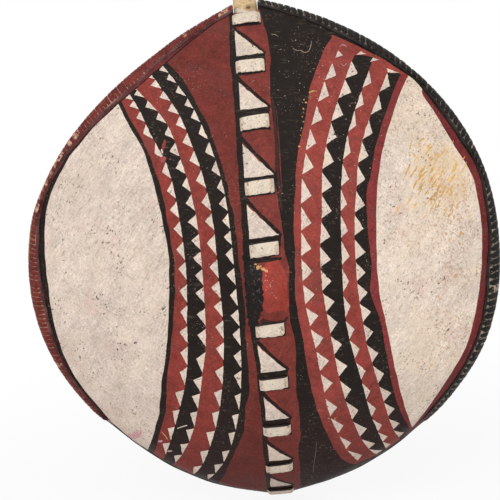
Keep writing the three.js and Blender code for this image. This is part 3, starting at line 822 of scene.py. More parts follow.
def painted_shapes():
    """All painted shapes in painting order, as (paint, polygon)."""
    shapes = [
        ("cream", side_of([(-FAR, PAGE), (-FAR, -PAGE)], 1, 0.0)),
        ("black", side_of(LEFT_BORDER_OUTER)),
        ("red", side_of(LEFT_BORDER_INNER)),
        *bands(("black", "red", "black"), LEFT_BASES),
        ("dark red", side_of(LEFT_FIELD, 1, 0.7)),
        ("strip red", side_of(COLUMN_LINE_INNER)),
        ("black", side_of(RED_STRIP_EDGE)),
        ("red right", side_of(BLACK_BAND_EDGE)),
        *bands(("black", "red right", "black"), RIGHT_BASES[1:]),
        ("border red", side_of(RIGHT_BORDER_INNER)),
        *triangle_columns(LEFT_BASES, LEFT_CENTRES, LEFT_REACHES, -1, 0.84, LEFT_APEX),
        *triangle_columns(RIGHT_BASES, RIGHT_CENTRES, RIGHT_REACHES, 1, 0.86, RIGHT_APEX),
    ]
    return shapes + rim_lines() + column_shapes() + boss_shapes() + marks() + foot_edge_and_shade()


def left_rim_line():
    width = curve(RIM_LINE_WIDTH)
    return [(x - float(width(v)), v) for x, v in LEFT_FIELD_EDGE]


def rim_lines():
    """The right cream field and the lines that follow the rim."""
    beyond = [(x + 60, v) for x, v in RIGHT_RIM_INNER]
    return [
        ("cream right", between(RIGHT_FIELD_EDGE, RIGHT_RIM_INNER, -243, 255)),
        ("black", side_of(LEFT_FIELD_EDGE, -1, 0.4)),
        ("maroon", side_of(left_rim_line(), -1, 0.4)),
        ("maroon", between(RIGHT_RIM_INNER, beyond, -300, TOP_RED_END)),
        ("red right", between(RIGHT_RIM_INNER, beyond, TOP_RED_END - 6, 325, 0.3)),
        ("black", side_of(RIGHT_RIM_OUTER, 1, 0.4)),
        *[("cream", hand_cut(corners, 0.3, 3.0)) for corners in HALF_HIDDEN_TRIANGLES],
    ]


def foot_edge_and_shade():
    """The dark line along the foot, where the hide rolls back out of sight: partly its dark edge, partly painted
    shade.
    """
    inset = curve(FOOT_EDGE_INSET)
    inner, outer = [], []
    for side in (-1, 1):
        _, x, v = edge_line(side, 6.0)
        x, v = x[v < FOOT_EDGE_TOP][::-side], v[v < FOOT_EDGE_TOP][::-side]
        share = 1 - inset(x) / np.hypot(x, v)
        inner += list(zip(share * x, share * v))
        outer += list(zip(1.05 * x, 1.05 * v))
    return [("black", inner + outer[::-1])]


def column_triangle(high, low, reach):
    """One cream triangle of the column, with a black line along its slope and under its base."""
    left = float(curve(COLUMN_LINE_INNER)((high + low) / 2)) - 1.0
    slope = [(left - 1, high + 8), (left + 4, high), (reach, low + 4.5), (reach + 3, low + 1)]
    under = [(left - 2, low + 1), (reach + 2.8, low + 2.4), (reach + 1, low - 12), (left - 2, low - 13)]
    triangle = [(left, high), (left, low), (reach, low + 2.2)]
    return [
        ("black", stroke(slope, [5.0, 4.4, 4.2, 3.2])),
        ("black", hand_cut(under, 0.3)),
        ("cream", hand_cut(triangle, 0.35, 4.0, (0.0, 0.0, 0.012))),
    ]


def strap_surround(place, shift):
    """The two slits of a strap, painted dark as the shadow where it dives into the hide, and the black line
    under its painted front, partly painted shadow.
    """
    half = LASHING_WIDTH / 2
    shapes = []
    for side in (-1, 1):
        x = side * (LASHING_HALF + LASHING_THICKNESS / 2)
        middle = place + 0.05 * x
        # each slit is a dark patch painted as shadow, not a hole
        slit = [(x - 2, middle - half - 0.8), (x + 2, middle - half - 0.8),
                (x + 2, middle + half + 0.5), (x - 2, middle + half + 0.5)]
        shapes.append(("boss black and slit shadow", hand_cut(slit, 0.3)))
    under = place + shift - half
    # black line under the strap: paint, and painted shadow of its lower edge
    line_and_shadow_under = [(-18, under - 0.4), (0, under + 0.6), (19, under + 1.6)]
    return shapes + [("black", stroke(line_and_shadow_under, [5.6, 5.0, 5.2]))]


def column_shapes():
    """The column's triangles, its line and what surrounds its straps."""
    shapes = []
    for high, low, reach in COLUMN_TRIANGLES:
        shapes += column_triangle(high, low, reach)
    shapes.append(("black", between(COLUMN_LINE_OUTER, COLUMN_LINE_INNER, -PAGE, PAGE, 0.5)))
    for place, shift in zip(lashing_places(), STRAP_SHIFTS):
        shapes += strap_surround(place, shift)
    return shapes


def boss_shapes():
    """The red boss, painted brighter partly as a highlight, with the black patch over its left, chipped and with
    painted highlights.
    """
    return [
        ("boss red and highlight", blob(9, -2, 17, 42, 0, 16, 0.06)),
        ("brown black", blob(4, -40, 20, 6, 0, 12, 0.1)),
        ("strip red", blob(8, -34, 17, 8, 0, 14, 0.1)),
        ("black", stroke([(-20, 37.5), (0, 38), (21, 39)], [6.0, 5.0, 4.4])),
        ("boss black and slit shadow", hand_cut(BOSS_PATCH, 0.9, 3.0)),
        # grey dabs: painted highlights on the curve of the black patch
        *scattered("rubbed and highlit black", 30, (-19, -8), (-14, 34), (0.35, 1.1), (0.4, 1.5), (-40, 40), 6),
        *scattered("brown black", 18, (-20, -8), (-40, 34), (0.5, 1.6), (0.6, 2.2), (-40, 40), 6),
        *[("orange", blob(x, v, half_x, half_v, rng.uniform(-30, 30), 12, 0.3))
          for x, v, half_x, half_v in BOSS_CHIPS],
        *[("pale", blob(rng.uniform(-3, 10), rng.uniform(-16, 28), rng.uniform(0.3, 0.8),
                        rng.uniform(0.3, 0.9), 0, 5, 0.3)) for _ in range(16)],
    ]


def scattered(paint, count, x_range, v_range, wide, tall=None, turns=(0, 90), points=5):
    """Small dabs of one paint at random places."""
    tall = tall or wide
    return [(paint, blob(rng.uniform(*x_range), rng.uniform(*v_range), rng.uniform(*wide),
                         rng.uniform(*tall), rng.uniform(*turns), points, 0.3)) for _ in range(count)]


def marks():
    """Knocks and slips of the brush that the photograph shows, each in its place."""
    return [
        ("brown black", stroke(DOUBLE_EDGE, [0.6, 3.4, 4.4, 4.4, 3.0, 0.6])),
        ("strip red", stroke(DOUBLE_EDGE_LIGHT, [0.3, 0.9, 1.2, 0.4], 0.15)),
        ("red", stroke([(-113, 196), (-116, 188), (-119, 180)], [3.0, 4.0, 2.0])),
        ("pink", blob(-118, 171, 4.4, 3.4, 20, 10, 0.2)),
        ("cream", blob(-118.5, 181, 1.4, 3.2, 10, 7, 0.2)),
        *[("orange", blob(x, v, rng.uniform(0.6, 1.3), rng.uniform(0.7, 1.5), rng.uniform(0, 90), 6, 0.3))
          for x, v in BAND_SPECKS],
        ("orange", stroke([(71, 245), (76, 246.5), (81, 246)], [1.4, 2.2, 1.2])),
        *scattered("pale", 34, (32, 96), (215, 345), (0.3, 0.8)),
        *scattered("pale", 26, (100, 165), (120, 230), (0.3, 0.9)),
        ("pale", stroke(PALE_CURL, [0.5, 0.7, 0.5, 0.7, 0.5, 0.7, 0.4], 0.1)),
        ("pale", stroke([(30, 335), (35, 334), (39, 330)], [0.5, 0.7, 0.4], 0.1)),
        ("rose", stroke([(116, 306), (120, 309), (125, 305)], [0.8, 1.6, 0.8], 0.15)),
        ("rose", stroke([(115, 281), (119, 277), (123, 280)], [0.4, 0.8, 0.5], 0.1)),
        ("grey", stroke([(-103, -122), (-97, -119), (-92, -118)], [0.6, 0.9, 0.5], 0.1)),
        ("cream", stroke([(-132, -200), (-124, -196), (-118, -194)], [1.0, 1.8, 1.2], 0.15)),
        ("orange", stroke([(-154, -206), (-150, -213), (-147, -221)], [0.8, 1.4, 0.9], 0.15)),
        *[("rose", blob(x, v, 3.4, 2.6, 20, 8, 0.3)) for x, v in ((-157, -226), (-146, -244))],
        *scattered("grey", 44, (36, 84), (-335, -170), (0.4, 1.2)),
        *scattered("pale", 14, (66, 82), (-212, -196), (0.4, 0.9)),
        ("rubbed and highlit black", stroke([(52, -238), (50, -262), (47, -290), (46, -310)], [0.8, 1.1, 1.0, 0.7], 0.1)),
        *ochre_scratches(),
    ]


def ochre_scratches():
    """Yellow earth scored into the upper right of the cream field, all in one direction."""
    shapes = []
    for _ in range(100):
        x, v = rng.normal(228, 20), rng.normal(112, 26)
        turn = math.radians(rng.normal(54, 9))
        half = rng.uniform(2, 11) * math.exp(-abs(v - 120) / 90)
        dx, dv = half * math.cos(turn), half * math.sin(turn)
        thick = rng.uniform(0.8, 3.6)
        line = [(x - dx, v - dv), (x + rng.normal(0, 0.8), v), (x + dx, v + dv)]
        shapes.append(("ochre", stroke(line, [0.4 * thick, thick, 0.4 * thick], 0.25)))
    for x, v in OCHRE_SPOTS:
        shapes += scattered("ochre", 5, (x - 5, x + 5), (v - 6, v + 6), (0.6, 1.6))
    return shapes


# The painted hide

EDGE_STEP = 3.0
FRONT_SPACING = 6.5
BACK_SPACING = 9.0
# half the width that the flat hide takes on the map for the bake
MAP_HALF_WIDTH = 320


def edge_line(side, step):
    """Edge of the hide from beside the stave's tip down to the foot, evenly spaced."""
    share = np.cos(np.linspace(0, np.pi, 8001))
    x = edge_width(share * HALF_LENGTH, side)
    v = share * HALF_LENGTH
    keep = (x >= RIM_START) | (v < 0)
    x, v = x[keep], v[keep]
    length = np.r_[0, np.cumsum(np.hypot(np.diff(x), np.diff(v)))]
    s = np.linspace(0, length[-1], int(length[-1] / step) + 1)
    return s, side * np.interp(s, length, x), np.interp(s, length, v)


def hide_outline():
    """Round the hide from the notch, down the left and up the right."""
    _, left_x, left_v = edge_line(-1, EDGE_STEP)
    _, right_x, right_v = edge_line(1, EDGE_STEP)
    outline = list(zip(left_x, left_v)) + list(zip(right_x, right_v))[::-1][1:]
    notch = [(LASHING_HALF, v) for v in np.arange(NOTCH_START + 24, NOTCH_START, -5.0)]
    floor = [(x, NOTCH_START) for x in np.linspace(LASHING_HALF, -LASHING_HALF, 9)]
    return outline + notch + floor + [(-x, v) for x, v in notch[::-1]]


def filling(spacing):
    """Points over the whole face, closer together round the boss."""
    points = []
    for spread, reach in ((spacing, PAGE), (spacing * 0.5, 60)):
        half = min(reach, MAP_HALF_WIDTH)
        columns = np.arange(-half, half + 1, spread)
        for k, v in enumerate(np.arange(-reach, reach, spread * 0.866)):
            points += [(x + spread / 2 * (k % 2) + 0.013, v + 0.007) for x in columns]
    return points


def signed_area(polygon):
    """Twice the area, more than zero when the polygon runs anticlockwise."""
    return sum(x0 * y1 - x1 * y0 for (x0, y0), (x1, y1) in zip(polygon, polygon[1:] + polygon[:1]))


def triangulate(outline, shapes, spacing):
    """Triangles inside the outline, each with the number of the last shape over it."""
    points, polygons = [], []
    for polygon in [outline] + shapes:
        polygon = [(float(x), float(y)) for x, y in polygon]
        if signed_area(polygon) < 0:
            polygon = polygon[::-1]
        polygons.append(list(range(len(points), len(points) + len(polygon))))
        points += polygon
    points += filling(spacing)
    made = delaunay_2d_cdt([Vector(p) for p in points], [], polygons, 0, 1e-4)
    vertices, faces, origins, owners = made[0], made[2], made[3], made[5]
    kept = [(face, max(owner)) for face, owner in zip(faces, owners) if 0 in owner]
    used = sorted({i for face, _ in kept for i in face})
    renumber = {old: new for new, old in enumerate(used)}
    flat = np.array([tuple(vertices[i]) for i in used])
    triangles = [[renumber[i] for i in face] for face, _ in kept]
    return flat, triangles, [top for _, top in kept], [origins[i] for i in used]


def boundary_loop(faces):
    """The one loop of edges that belong to a single face, in order."""
    once = set()
    for face in faces:
        for a, b in zip(face, face[1:] + face[:1]):
            if (b, a) in once:
                once.remove((b, a))
            else:
                once.add((a, b))
    after = dict(once)
    start = min(after)
    loop, at = [start], after[start]
    while at != start:
        loop.append(at)
        at = after[at]
    return loop


def bake_layer(mesh, flat, back_flat, counts):
    """A map for the bake: the front in its left half, the back in its right half, the walls along its top."""
    corners = np.zeros(len(mesh.loops), np.int32)
    mesh.loops.foreach_get("vertex_index", corners)
    place = np.vstack([flat, back_flat])[corners]
    u = (place[:, 0] + MAP_HALF_WIDTH) / (2 * MAP_HALF_WIDTH) * 0.48 + 0.01
    v = (place[:, 1] + PAGE) / (2 * PAGE) * 0.95 + 0.01
    u[3 * counts[0]:] = 1.0 - u[3 * counts[0]:]
    wall_start = 3 * (counts[0] + counts[1])
    number = np.arange(counts[2])
    for corner, (du, dv) in enumerate(((1, 0), (0, 0), (0, 1), (1, 1))):
        u[wall_start + corner::4] = 0.01 + 0.98 * (number + du) / counts[2]
        v[wall_start + corner::4] = 0.97 + 0.02 * dv
    layer = mesh.uv_layers.new(name="OFBake")
    layer.data.foreach_set("uv", np.stack([u, v], 1).astype(np.float32).ravel())
    return corners


def paint_tables(shapes):
    """Colour and kind of every shape's paint."""
    colours = np.array([linear(*PAINTS[name][0]) for name, _ in shapes])
    kinds = np.array([PAINTS[name][1] + (1,) for name, _ in shapes], float)
    return ("paint", colours), ("kind", kinds)


def make_hide(shapes):
    """The painted front, the raw back and the walls between them, as one mesh."""
    flat, faces, tops, _ = triangulate(hide_outline(), [polygon for _, polygon in shapes], FRONT_SPACING)
    loop = boundary_loop(faces)
    rim = [tuple(flat[i]) for i in loop]
    back_flat, back_faces, _, back_origins = triangulate(rim, [], BACK_SPACING)
    matching = {old: new for new, olds in enumerate(back_origins) for old in olds if old < len(rim)}

    front = face_point(flat[:, 0], flat[:, 1])
    front_normals = face_normal(flat[:, 0], flat[:, 1])
    behind_normals = face_normal(back_flat[:, 0], back_flat[:, 1])
    behind = face_point(back_flat[:, 0], back_flat[:, 1]) - behind_normals * HIDE_THICKNESS
    first = len(front)
    back = [[first + i for i in face[::-1]] for face in back_faces]
    following = loop[1:] + loop[:1]
    walls = [[b, a, first + matching[k], first + matching[(k + 1) % len(loop)]]
             for k, (a, b) in enumerate(zip(loop, following))]
    hide = make_object("painted_hide", np.vstack([front, behind]), faces + back + walls,
                       "hide_face", painted_material())
    mesh = hide.data
    mesh.materials.append(raw_hide_material())
    counts = (len(faces), len(back), len(walls))
    mesh.polygons.foreach_set("material_index", np.repeat([0, 1, 1], counts).astype(np.int32))

    number = np.maximum(np.array(tops) - 1, 0)
    for name, table in paint_tables(shapes):
        values = np.zeros((len(mesh.loops), 4), np.float32)
        values[:3 * len(faces)] = np.repeat(table[number], 3, axis=0)
        colour_layer(hide, name, values, "CORNER")
    corners = bake_layer(mesh, flat, back_flat, counts)
    normals = np.vstack([front_normals, -behind_normals])
    mesh.normals_split_custom_set(normals[corners].tolist())


# The rim

def shape_over(shapes, x, v):
    """The number of the last shape that covers each point."""
    number = np.zeros(len(x), int)
    for n, (_, polygon) in enumerate(shapes):
        start = np.array(polygon)
        end = np.roll(start, -1, 0)
        rise = np.where(end[:, 1] == start[:, 1], 1, end[:, 1] - start[:, 1])
        crossing = (start[:, 1] > v[:, None]) != (end[:, 1] > v[:, None])
        at = start[:, 0] + (v[:, None] - start[:, 1]) * (end[:, 0] - start[:, 0]) / rise
        inside = (crossing & (x[:, None] < at)).sum(1) % 2 == 1
        number[inside] = n
    return number


class Rim:
    """One side of the rim, addressed by the length along it from the stave's tip."""

    def __init__(self, side, line, cover_start, cover_full, strip):
        """Paint covers the rim below cover_start. Strip is the part of its front without the thong."""
        self.side = side
        self.s, self.x, self.v = edge_line(side, 1.0)
        self.length = self.s[-1]
        self.cover_range = cover_start, cover_full
        self.strip = strip
        # the binding reaches in to the line that is painted along it
        v = np.arange(-300, 330, 3.0)
        x = curve(line)(v)
        order = np.argsort(np.arctan2(v, side * x))
        angle = np.arctan2(v, side * x)[order]
        reach = np.hypot(x, v)[order]
        leg = np.hypot(self.x, self.v) - np.interp(np.arctan2(self.v, side * self.x), angle, reach)
        leg = np.where(self.v > 300, TIP_LEG, leg - 1.5 * smooth((self.v - 60) / 120))
        leg = np.clip(np.where(self.v < -290, FOOT_LEG, leg), FOOT_LEG, BINDING_LEG)
        self.leg = np.convolve(np.pad(leg, 12, mode="edge"), np.ones(25) / 25, "valid")

    def place(self, s):
        return np.interp(s, self.s, self.v)

    def cover(self, s):
        start, full = self.cover_range
        return smooth((start - self.place(s)) / (start - full))

    def front_leg(self, s):
        return np.interp(s, self.s, self.leg)

    def base(self, s, inset):
        return ray_point(np.interp(s, self.s, self.x), np.interp(s, self.s, self.v), inset)

    def slimness(self, s):
        """The rim is slimmer where it is painted over, and on the left also above the middle."""
        slim = 1 - 0.32 * self.cover(s)
        if self.side > 0:
            return slim
        v = self.place(s)
        return slim - 0.22 * smooth((v - 90) / 60) * smooth((345 - v) / 40)

    def point(self, s, outward, forward):
        """Outward from the edge along its ray, and forward from the face."""
        s, outward, forward = np.broadcast_arrays(*[np.asarray(a, float) for a in (s, outward, forward)])
        slim = self.slimness(s)
        outward = np.where(outward > NOSE_OUTWARD, NOSE_OUTWARD + (outward - NOSE_OUTWARD) * slim, outward)
        forward = -HIDE_THICKNESS / 2 + (forward + HIDE_THICKNESS / 2) * slim
        inset = np.maximum(-outward, 0)
        at = np.clip(s, 2, self.length - 2)
        away = self.base(at, inset - 0.5) - self.base(at, inset + 0.5)
        along = self.base(at + 2, inset) - self.base(at - 2, inset)
        normal = np.cross(along, away) * self.side
        away /= np.linalg.norm(away, axis=-1, keepdims=True)
        normal /= np.linalg.norm(normal, axis=-1, keepdims=True)
        return self.base(s, inset) + away * np.maximum(outward, 0)[..., None] + normal * forward[..., None]

    def tangent(self, s, outward, forward):
        along = self.point(s + 1, outward, forward) - self.point(s - 1, outward, forward)
        return along / np.linalg.norm(along, axis=-1, keepdims=True)


def fold(radius, front_leg, back_leg, nose_steps=12, leg_steps=5, dip=0.0):
    """Outward and forward of a fold round the rim at each station: front leg, nose and back leg."""
    leg = np.asarray(front_leg, float)[..., None]
    t = np.arange(leg_steps) / leg_steps
    turn = np.linspace(np.pi / 2, -np.pi / 2, nose_steps + 1)
    front = -leg + (leg + NOSE_OUTWARD) * t
    nose = np.broadcast_to(NOSE_OUTWARD + radius * np.cos(turn), leg.shape[:-1] + turn.shape)
    back = np.broadcast_to(-back_leg + (back_leg + NOSE_OUTWARD) * t[::-1], leg.shape[:-1] + t.shape)
    outward = np.concatenate([front, nose, back], -1)
    dipped = dip * smooth((-front - leg + 4) / 4)
    forward = np.concatenate([NOSE_FORWARD + radius - dipped,
                              np.broadcast_to(NOSE_FORWARD + radius * np.sin(turn), nose.shape),
                              np.broadcast_to(NOSE_FORWARD - radius, back.shape)], -1)
    return outward, forward


def paint_on_rim(obj, rim, s, outward, forward, shapes):
    """The face's own paint, which runs over the front of the rim towards the foot, where the rim's outside and
    back are painted dark, partly as shade.
    """
    stations = np.linspace(0, rim.length, 500)
    x, v = np.interp(stations, rim.s, rim.x), rim.place(stations)
    share = 1 - (rim.front_leg(stations) + 1.5) / np.hypot(x, v)
    number = shape_over(shapes, share * x, share * v)
    nearest = np.clip(np.round(s / rim.length * 499).astype(int), 0, 499)
    for name, table in paint_tables(shapes):
        colour_layer(obj, name, table[number[nearest]])
    cover = rim.cover(s)
    point_layer(obj, "cover", cover)
    dark_edge_and_shade = np.maximum(smooth((outward + 4.5) / 2.0), smooth((NOSE_FORWARD - forward) / 3.0))
    point_layer(obj, "dark", cover * dark_edge_and_shade)


def make_binding(rim, name, material, bare, shapes):
    """The hide strip that is folded round the edge and its rod."""
    s = np.linspace(0, rim.length, int(rim.length / 3.5))
    swell = 0.25 * np.sin(s / 11) + wobble(len(s), 0.08)
    leg = rim.front_leg(s) + 0.6 * np.sin(s / 17 + 1) + wobble(len(s), 0.3)
    outer_out, outer_forward = fold(BINDING_OUTER, leg, BINDING_LEG, dip=BINDING_EDGE_DIP)
    inner_out, inner_forward = fold(BINDING_INNER, leg, BINDING_LEG, dip=BINDING_EDGE_DIP / 2)
    outward = np.concatenate([outer_out, inner_out[:, ::-1]], 1)
    lift = np.sign(outer_forward - NOSE_FORWARD) * (np.abs(outer_forward - NOSE_FORWARD) > 4)
    forward = np.concatenate([outer_forward + lift * swell[:, None], inner_forward[:, ::-1]], 1)
    points = rim.point(s[:, None], outward, forward)
    rows, columns = points.shape[:2]
    obj = make_object(f"rim_{name}", points.reshape(-1, 3), sweep_faces(rows, columns),
                      f"rim_binding_{name}", material, 50)
    along = np.broadcast_to(s[:, None], outward.shape)
    in_channel = smooth((outward + leg[:, None] - rim.strip - 0.6) / 1.5) * (outward < 3)
    fresh = 1 - rim.cover(along)
    dusty = 0.55 + 0.4 * smooth((215 - rim.place(along)) / 60) if rim.side > 0 else 0.9
    point_layer(obj, "gap", in_channel * fresh * dusty)
    point_layer(obj, "strip", (1 - in_channel) * fresh)
    point_layer(obj, "worn_and_lit_crest", np.zeros(outward.shape))
    point_layer(obj, "bare", bare(rim.place(along), outward))
    paint_on_rim(obj, rim, along.ravel(), outward.ravel(), forward.ravel(), shapes)


# a flat thong in section: share of its half width, share of its thickness
THONG = [(-1, 0.25), (-0.94, 0.78), (-0.72, 1.0), (0.0, 1.05), (0.72, 1.0), (0.94, 0.78), (1, 0.25),
         (0, -0.1)]


def lacing_turns(rim, pitch, slant, looseness):
    """Where each turn of the thong runs along, outward and forward, and the points of all turns."""
    last = np.interp(0.55, rim.cover(rim.s), rim.s)
    places = np.arange(pitch * 0.6, last, pitch)
    places = places + rng.normal(0, 0.04 * pitch, len(places))
    turns = len(places)
    leg = np.maximum(rim.front_leg(places) - rim.strip, 1.2)
    inner_out, inner_forward = fold(LACING_INNER, leg, LACING_LEG, 10, 4)
    outer_out, outer_forward = fold(LACING_OUTER, leg, LACING_LEG, 10, 4)
    progress = np.abs(np.linspace(-1, 1, inner_out.shape[1]))[None, :]
    ends = smooth((progress - 0.8) / 0.2)
    lean = slant * (1 + rng.normal(0, 0.12, (turns, 1)))
    s = np.clip(places[:, None] + lean * (progress - 0.5), 1.2, rim.length - 1.2)
    thick = (1 + rng.normal(0, 0.07, (turns, 1))) * (1 - 0.5 * ends)
    loose = 1 - looseness * rng.random((turns, 1)) ** 3
    taper = smooth((progress - 0.74) / 0.22)
    half = pitch / 2 * 0.98 * loose * (1 - 2.0 * looseness * taper)
    sink = np.sign(inner_forward - NOSE_FORWARD) * 1.3 * ends
    low = rim.point(s, inner_out, inner_forward - sink)
    high = rim.point(s, outer_out, outer_forward - sink)
    along = rim.tangent(s, outer_out, outer_forward)
    rows = [low + (high - low) * (b * thick)[..., None] + along * (half * a)[..., None] for a, b in THONG]
    return s, outer_out, outer_forward, np.stack(rows, 2)


def make_lacing(rim, name, winding, crests, material, bare, shapes):
    """One thong wound round the rim: a flat turn at every pitch, until the paint covers it."""
    s, outward, forward, points = lacing_turns(rim, *winding)
    shape = points.shape[:3]
    turns, steps, columns = shape
    faces = []
    for turn in range(turns):
        faces += sweep_faces(steps, columns, turn * steps * columns)
    obj = make_object(f"rim_thong_{name}", points.reshape(-1, 3), faces, f"rim_lacing_{name}",
                      material, 60)
    v = rim.place(s)[..., None]
    # the upper edge of each turn, where the light falls, is painted pale: wear and painted highlight
    edge = np.array([a for a, _ in THONG]) < -0.9
    broad, worn_and_lit_edge = crests(v)
    worn = rng.random((turns, 1, 1)) < broad
    worn_and_lit_crest = np.maximum(worn * np.array([b > 0.7 for _, b in THONG]), worn_and_lit_edge * edge)
    point_layer(obj, "worn_and_lit_crest", np.broadcast_to(worn_and_lit_crest, shape))
    point_layer(obj, "gap", np.zeros(shape))
    point_layer(obj, "strip", np.zeros(shape))
    point_layer(obj, "bare", np.broadcast_to(bare(v, outward[..., None]), shape))
    spread = [np.broadcast_to(value[..., None], shape).ravel() for value in (s, outward, forward)]
    paint_on_rim(obj, rim, *spread, shapes)


def make_rod(rim, name, material):
    """The stiff cane inside the binding, just behind the hide."""
    s = np.linspace(0, rim.length, int(rim.length / 6))
    turn = np.linspace(0, 2 * np.pi, 13)[:-1]
    behind = HIDE_THICKNESS + ROD_GAP + ROD_RADIUS
    points = rim.point(s[:, None], NOSE_OUTWARD + ROD_RADIUS * np.cos(turn)[None, :],
                       ROD_RADIUS * np.sin(turn)[None, :] - behind)
    rows, columns = points.shape[:2]
    obj = make_object(f"rim_cane_{name}", points.reshape(-1, 3), sweep_faces(rows, columns),
                      f"rim_rod_{name}", material, 50)
    point_layer(obj, "cream_tip", np.zeros((rows, columns)))


# pitch, slant and looseness of the thong's turns
LEFT_WINDING = (6.0, 1.2, 0.1)
RIGHT_WINDING = (9.5, 4.5, 0.24)


def make_rim(rim, name, winding, crests, hide, bare, wood, shapes):
    """The binding, the lacing and the rod of one side."""
    make_binding(rim, name, hide, bare, shapes)
    make_lacing(rim, name, winding, crests, hide, bare, shapes)
    make_rod(rim, name, wood)


# The stave, the grip and the lashings

def stave_bow(v):
    """How far the grip stands back from the hide."""
    return GRIP_BOW * smooth((GRIP_HALF - np.abs(v)) / (GRIP_HALF / 2))


def stave_point(v, x, depth):
    """A point beside the stave's middle line: x across, depth backwards from the hide's front."""
    v, x, depth = np.broadcast_arrays(*[np.asarray(a, float) for a in (v, x, depth)])
    followed = np.minimum(v, TIP_STRAIGHT_FROM)
    angle = spine_angle(followed)
    y, z = spine_point(followed)
    beyond = v - followed
    return np.stack([x, y + depth * np.cos(angle) + beyond * np.sin(angle),
                     z - depth * np.sin(angle) + beyond * np.cos(angle)], -1)


def rounded(turn, power=3.2):
    """A rounded rectangle of half size one at each angle."""
    c, s = np.cos(turn), np.sin(turn)
    scale = (np.abs(c) ** power + np.abs(s) ** power) ** (-1 / power)
    return c * scale, s * scale


def make_stave(material):
    """The peeled stick, with the knot of its tip."""
    v = np.r_[np.linspace(STAVE_FOOT, STAVE_FOOT + 2, 3), np.linspace(STAVE_FOOT + 6, STAVE_TIP - 6, 200),
              np.linspace(STAVE_TIP - 2, STAVE_TIP, 3)]
    ends = np.minimum(smooth((v - STAVE_FOOT + 1.2) / 3.0), smooth((STAVE_TIP - v + 1.2) / 3.0))
    turn = np.linspace(0, 2 * np.pi, 33)[:-1]
    across, through = rounded(turn)
    bow = stave_bow(v)
    half = (STAVE_WIDTH - GRIP_NARROWING * bow / GRIP_BOW) / 2 - 0.3
    half = half + 0.45 * np.sin(v / 37) + 0.25 * np.sin(v / 13 + 1)
    thick = STAVE_THICKNESS / 2 - 0.1 + 0.2 * np.sin(v / 29 + 2)
    shrink = 0.86 + 0.14 * ends
    depth = HIDE_THICKNESS + STAVE_SEAT + STAVE_THICKNESS / 2 + bow
    facets = 0.25 * np.sin(3 * turn[None, :] + v[:, None] / 45)
    knot = 1.2 * np.exp(-((v[:, None] - 397) / 6) ** 2) * np.exp(-((np.sin(turn)[None, :] + 1) / 0.25) ** 2)
    x = across[None, :] * (half * shrink)[:, None] + facets * across[None, :]
    y = depth[:, None] + through[None, :] * ((thick * shrink)[:, None] + facets + knot)
    points = stave_point(v[:, None], x, y)
    rows, columns = points.shape[:2]
    obj = make_object("wooden_stave", points.reshape(-1, 3), sweep_faces(rows, columns), "stave",
                      material, 55)
    point_layer(obj, "cream_tip", np.ones((rows, columns)))


def make_grip(material):
    """A leather strip wound round the grip in lapping turns."""
    limit = GRIP_HALF - 2 * GRIP_HALF / 12
    v = np.linspace(-limit, limit, 150)
    turn = np.linspace(0, 2 * np.pi, 49)[:-1]
    across, through = rounded(turn, 2.8)
    bow = stave_bow(v)
    phase = (v[:, None] / 9.0 + turn[None, :] / (2 * np.pi)) % 1.0
    lap = 1.3 + 1.1 * phase ** 0.8
    ends = smooth((limit - np.abs(v)) / 1.5)
    lap = lap * (0.55 + 0.45 * ends)[:, None]
    half = (STAVE_WIDTH - GRIP_NARROWING * bow / GRIP_BOW) / 2
    depth = HIDE_THICKNESS + STAVE_SEAT + STAVE_THICKNESS / 2 + bow
    outer = stave_point(v[:, None], across[None, :] * (half[:, None] + lap),
                        depth[:, None] + through[None, :] * (STAVE_THICKNESS / 2 + lap))
    rows, columns = outer.shape[:2]
    obj = make_object("leather_grip", outer.reshape(-1, 3), sweep_faces(rows, columns), "grip_wrap",
                      material, 40)
    point_layer(obj, "edge", smooth((phase - 0.75) / 0.25))


def strap_path():
    """Across and depth along a strap: its lapped end, a slit, the front, the other slit and the lap."""
    back = HIDE_THICKNESS + STAVE_SEAT + STAVE_THICKNESS + 0.6
    reach = LASHING_HALF + LASHING_THICKNESS / 2
    lap = rng.uniform(4, 10)
    path = [(-lap, back + 1.2), (-reach + 3, back + 1.2), (-reach, back - 2.0), (-reach, 12.0), (-reach, 4.0),
            (-reach + 0.1, 0.4), (-reach + 1.2, -1.3), (-reach + 3.6, -1.9), (-8, -1.7), (0, -1.6), (8, -1.7),
            (reach - 3.6, -1.9), (reach - 1.2, -1.3), (reach - 0.1, 0.4), (reach, 4.0), (reach, 12.0),
            (reach, back - 1.5), (reach - 3, back + 1.2), (lap + 4, back + 2.2), (-lap, back + 3.5),
            (-lap - 6, back + 3.7)]
    path = np.array(path)
    lengths = np.r_[0, np.cumsum(np.hypot(*np.diff(path, axis=0).T))]
    s = np.linspace(0, lengths[-1], 100)
    x = np.interp(s, lengths, path[:, 0])
    depth = np.interp(s, lengths, path[:, 1])
    for line in (x, depth):
        for _ in range(2):
            line[1:-1] = (line[:-2] + 2 * line[1:-1] + line[2:]) / 4
    return x, depth


# a strap in section: share of its half width, share of its half thickness
STRAP = [(-1, -0.55), (-1, 0.35), (-0.95, 0.9), (-0.6, 1.0), (0, 1.08), (0.6, 1.0), (0.78, 0.98), (0.83, 0.97),
         (0.95, 0.9), (1, 0.35), (1, -0.55), (0.93, -1), (0, -1), (-0.93, -1)]


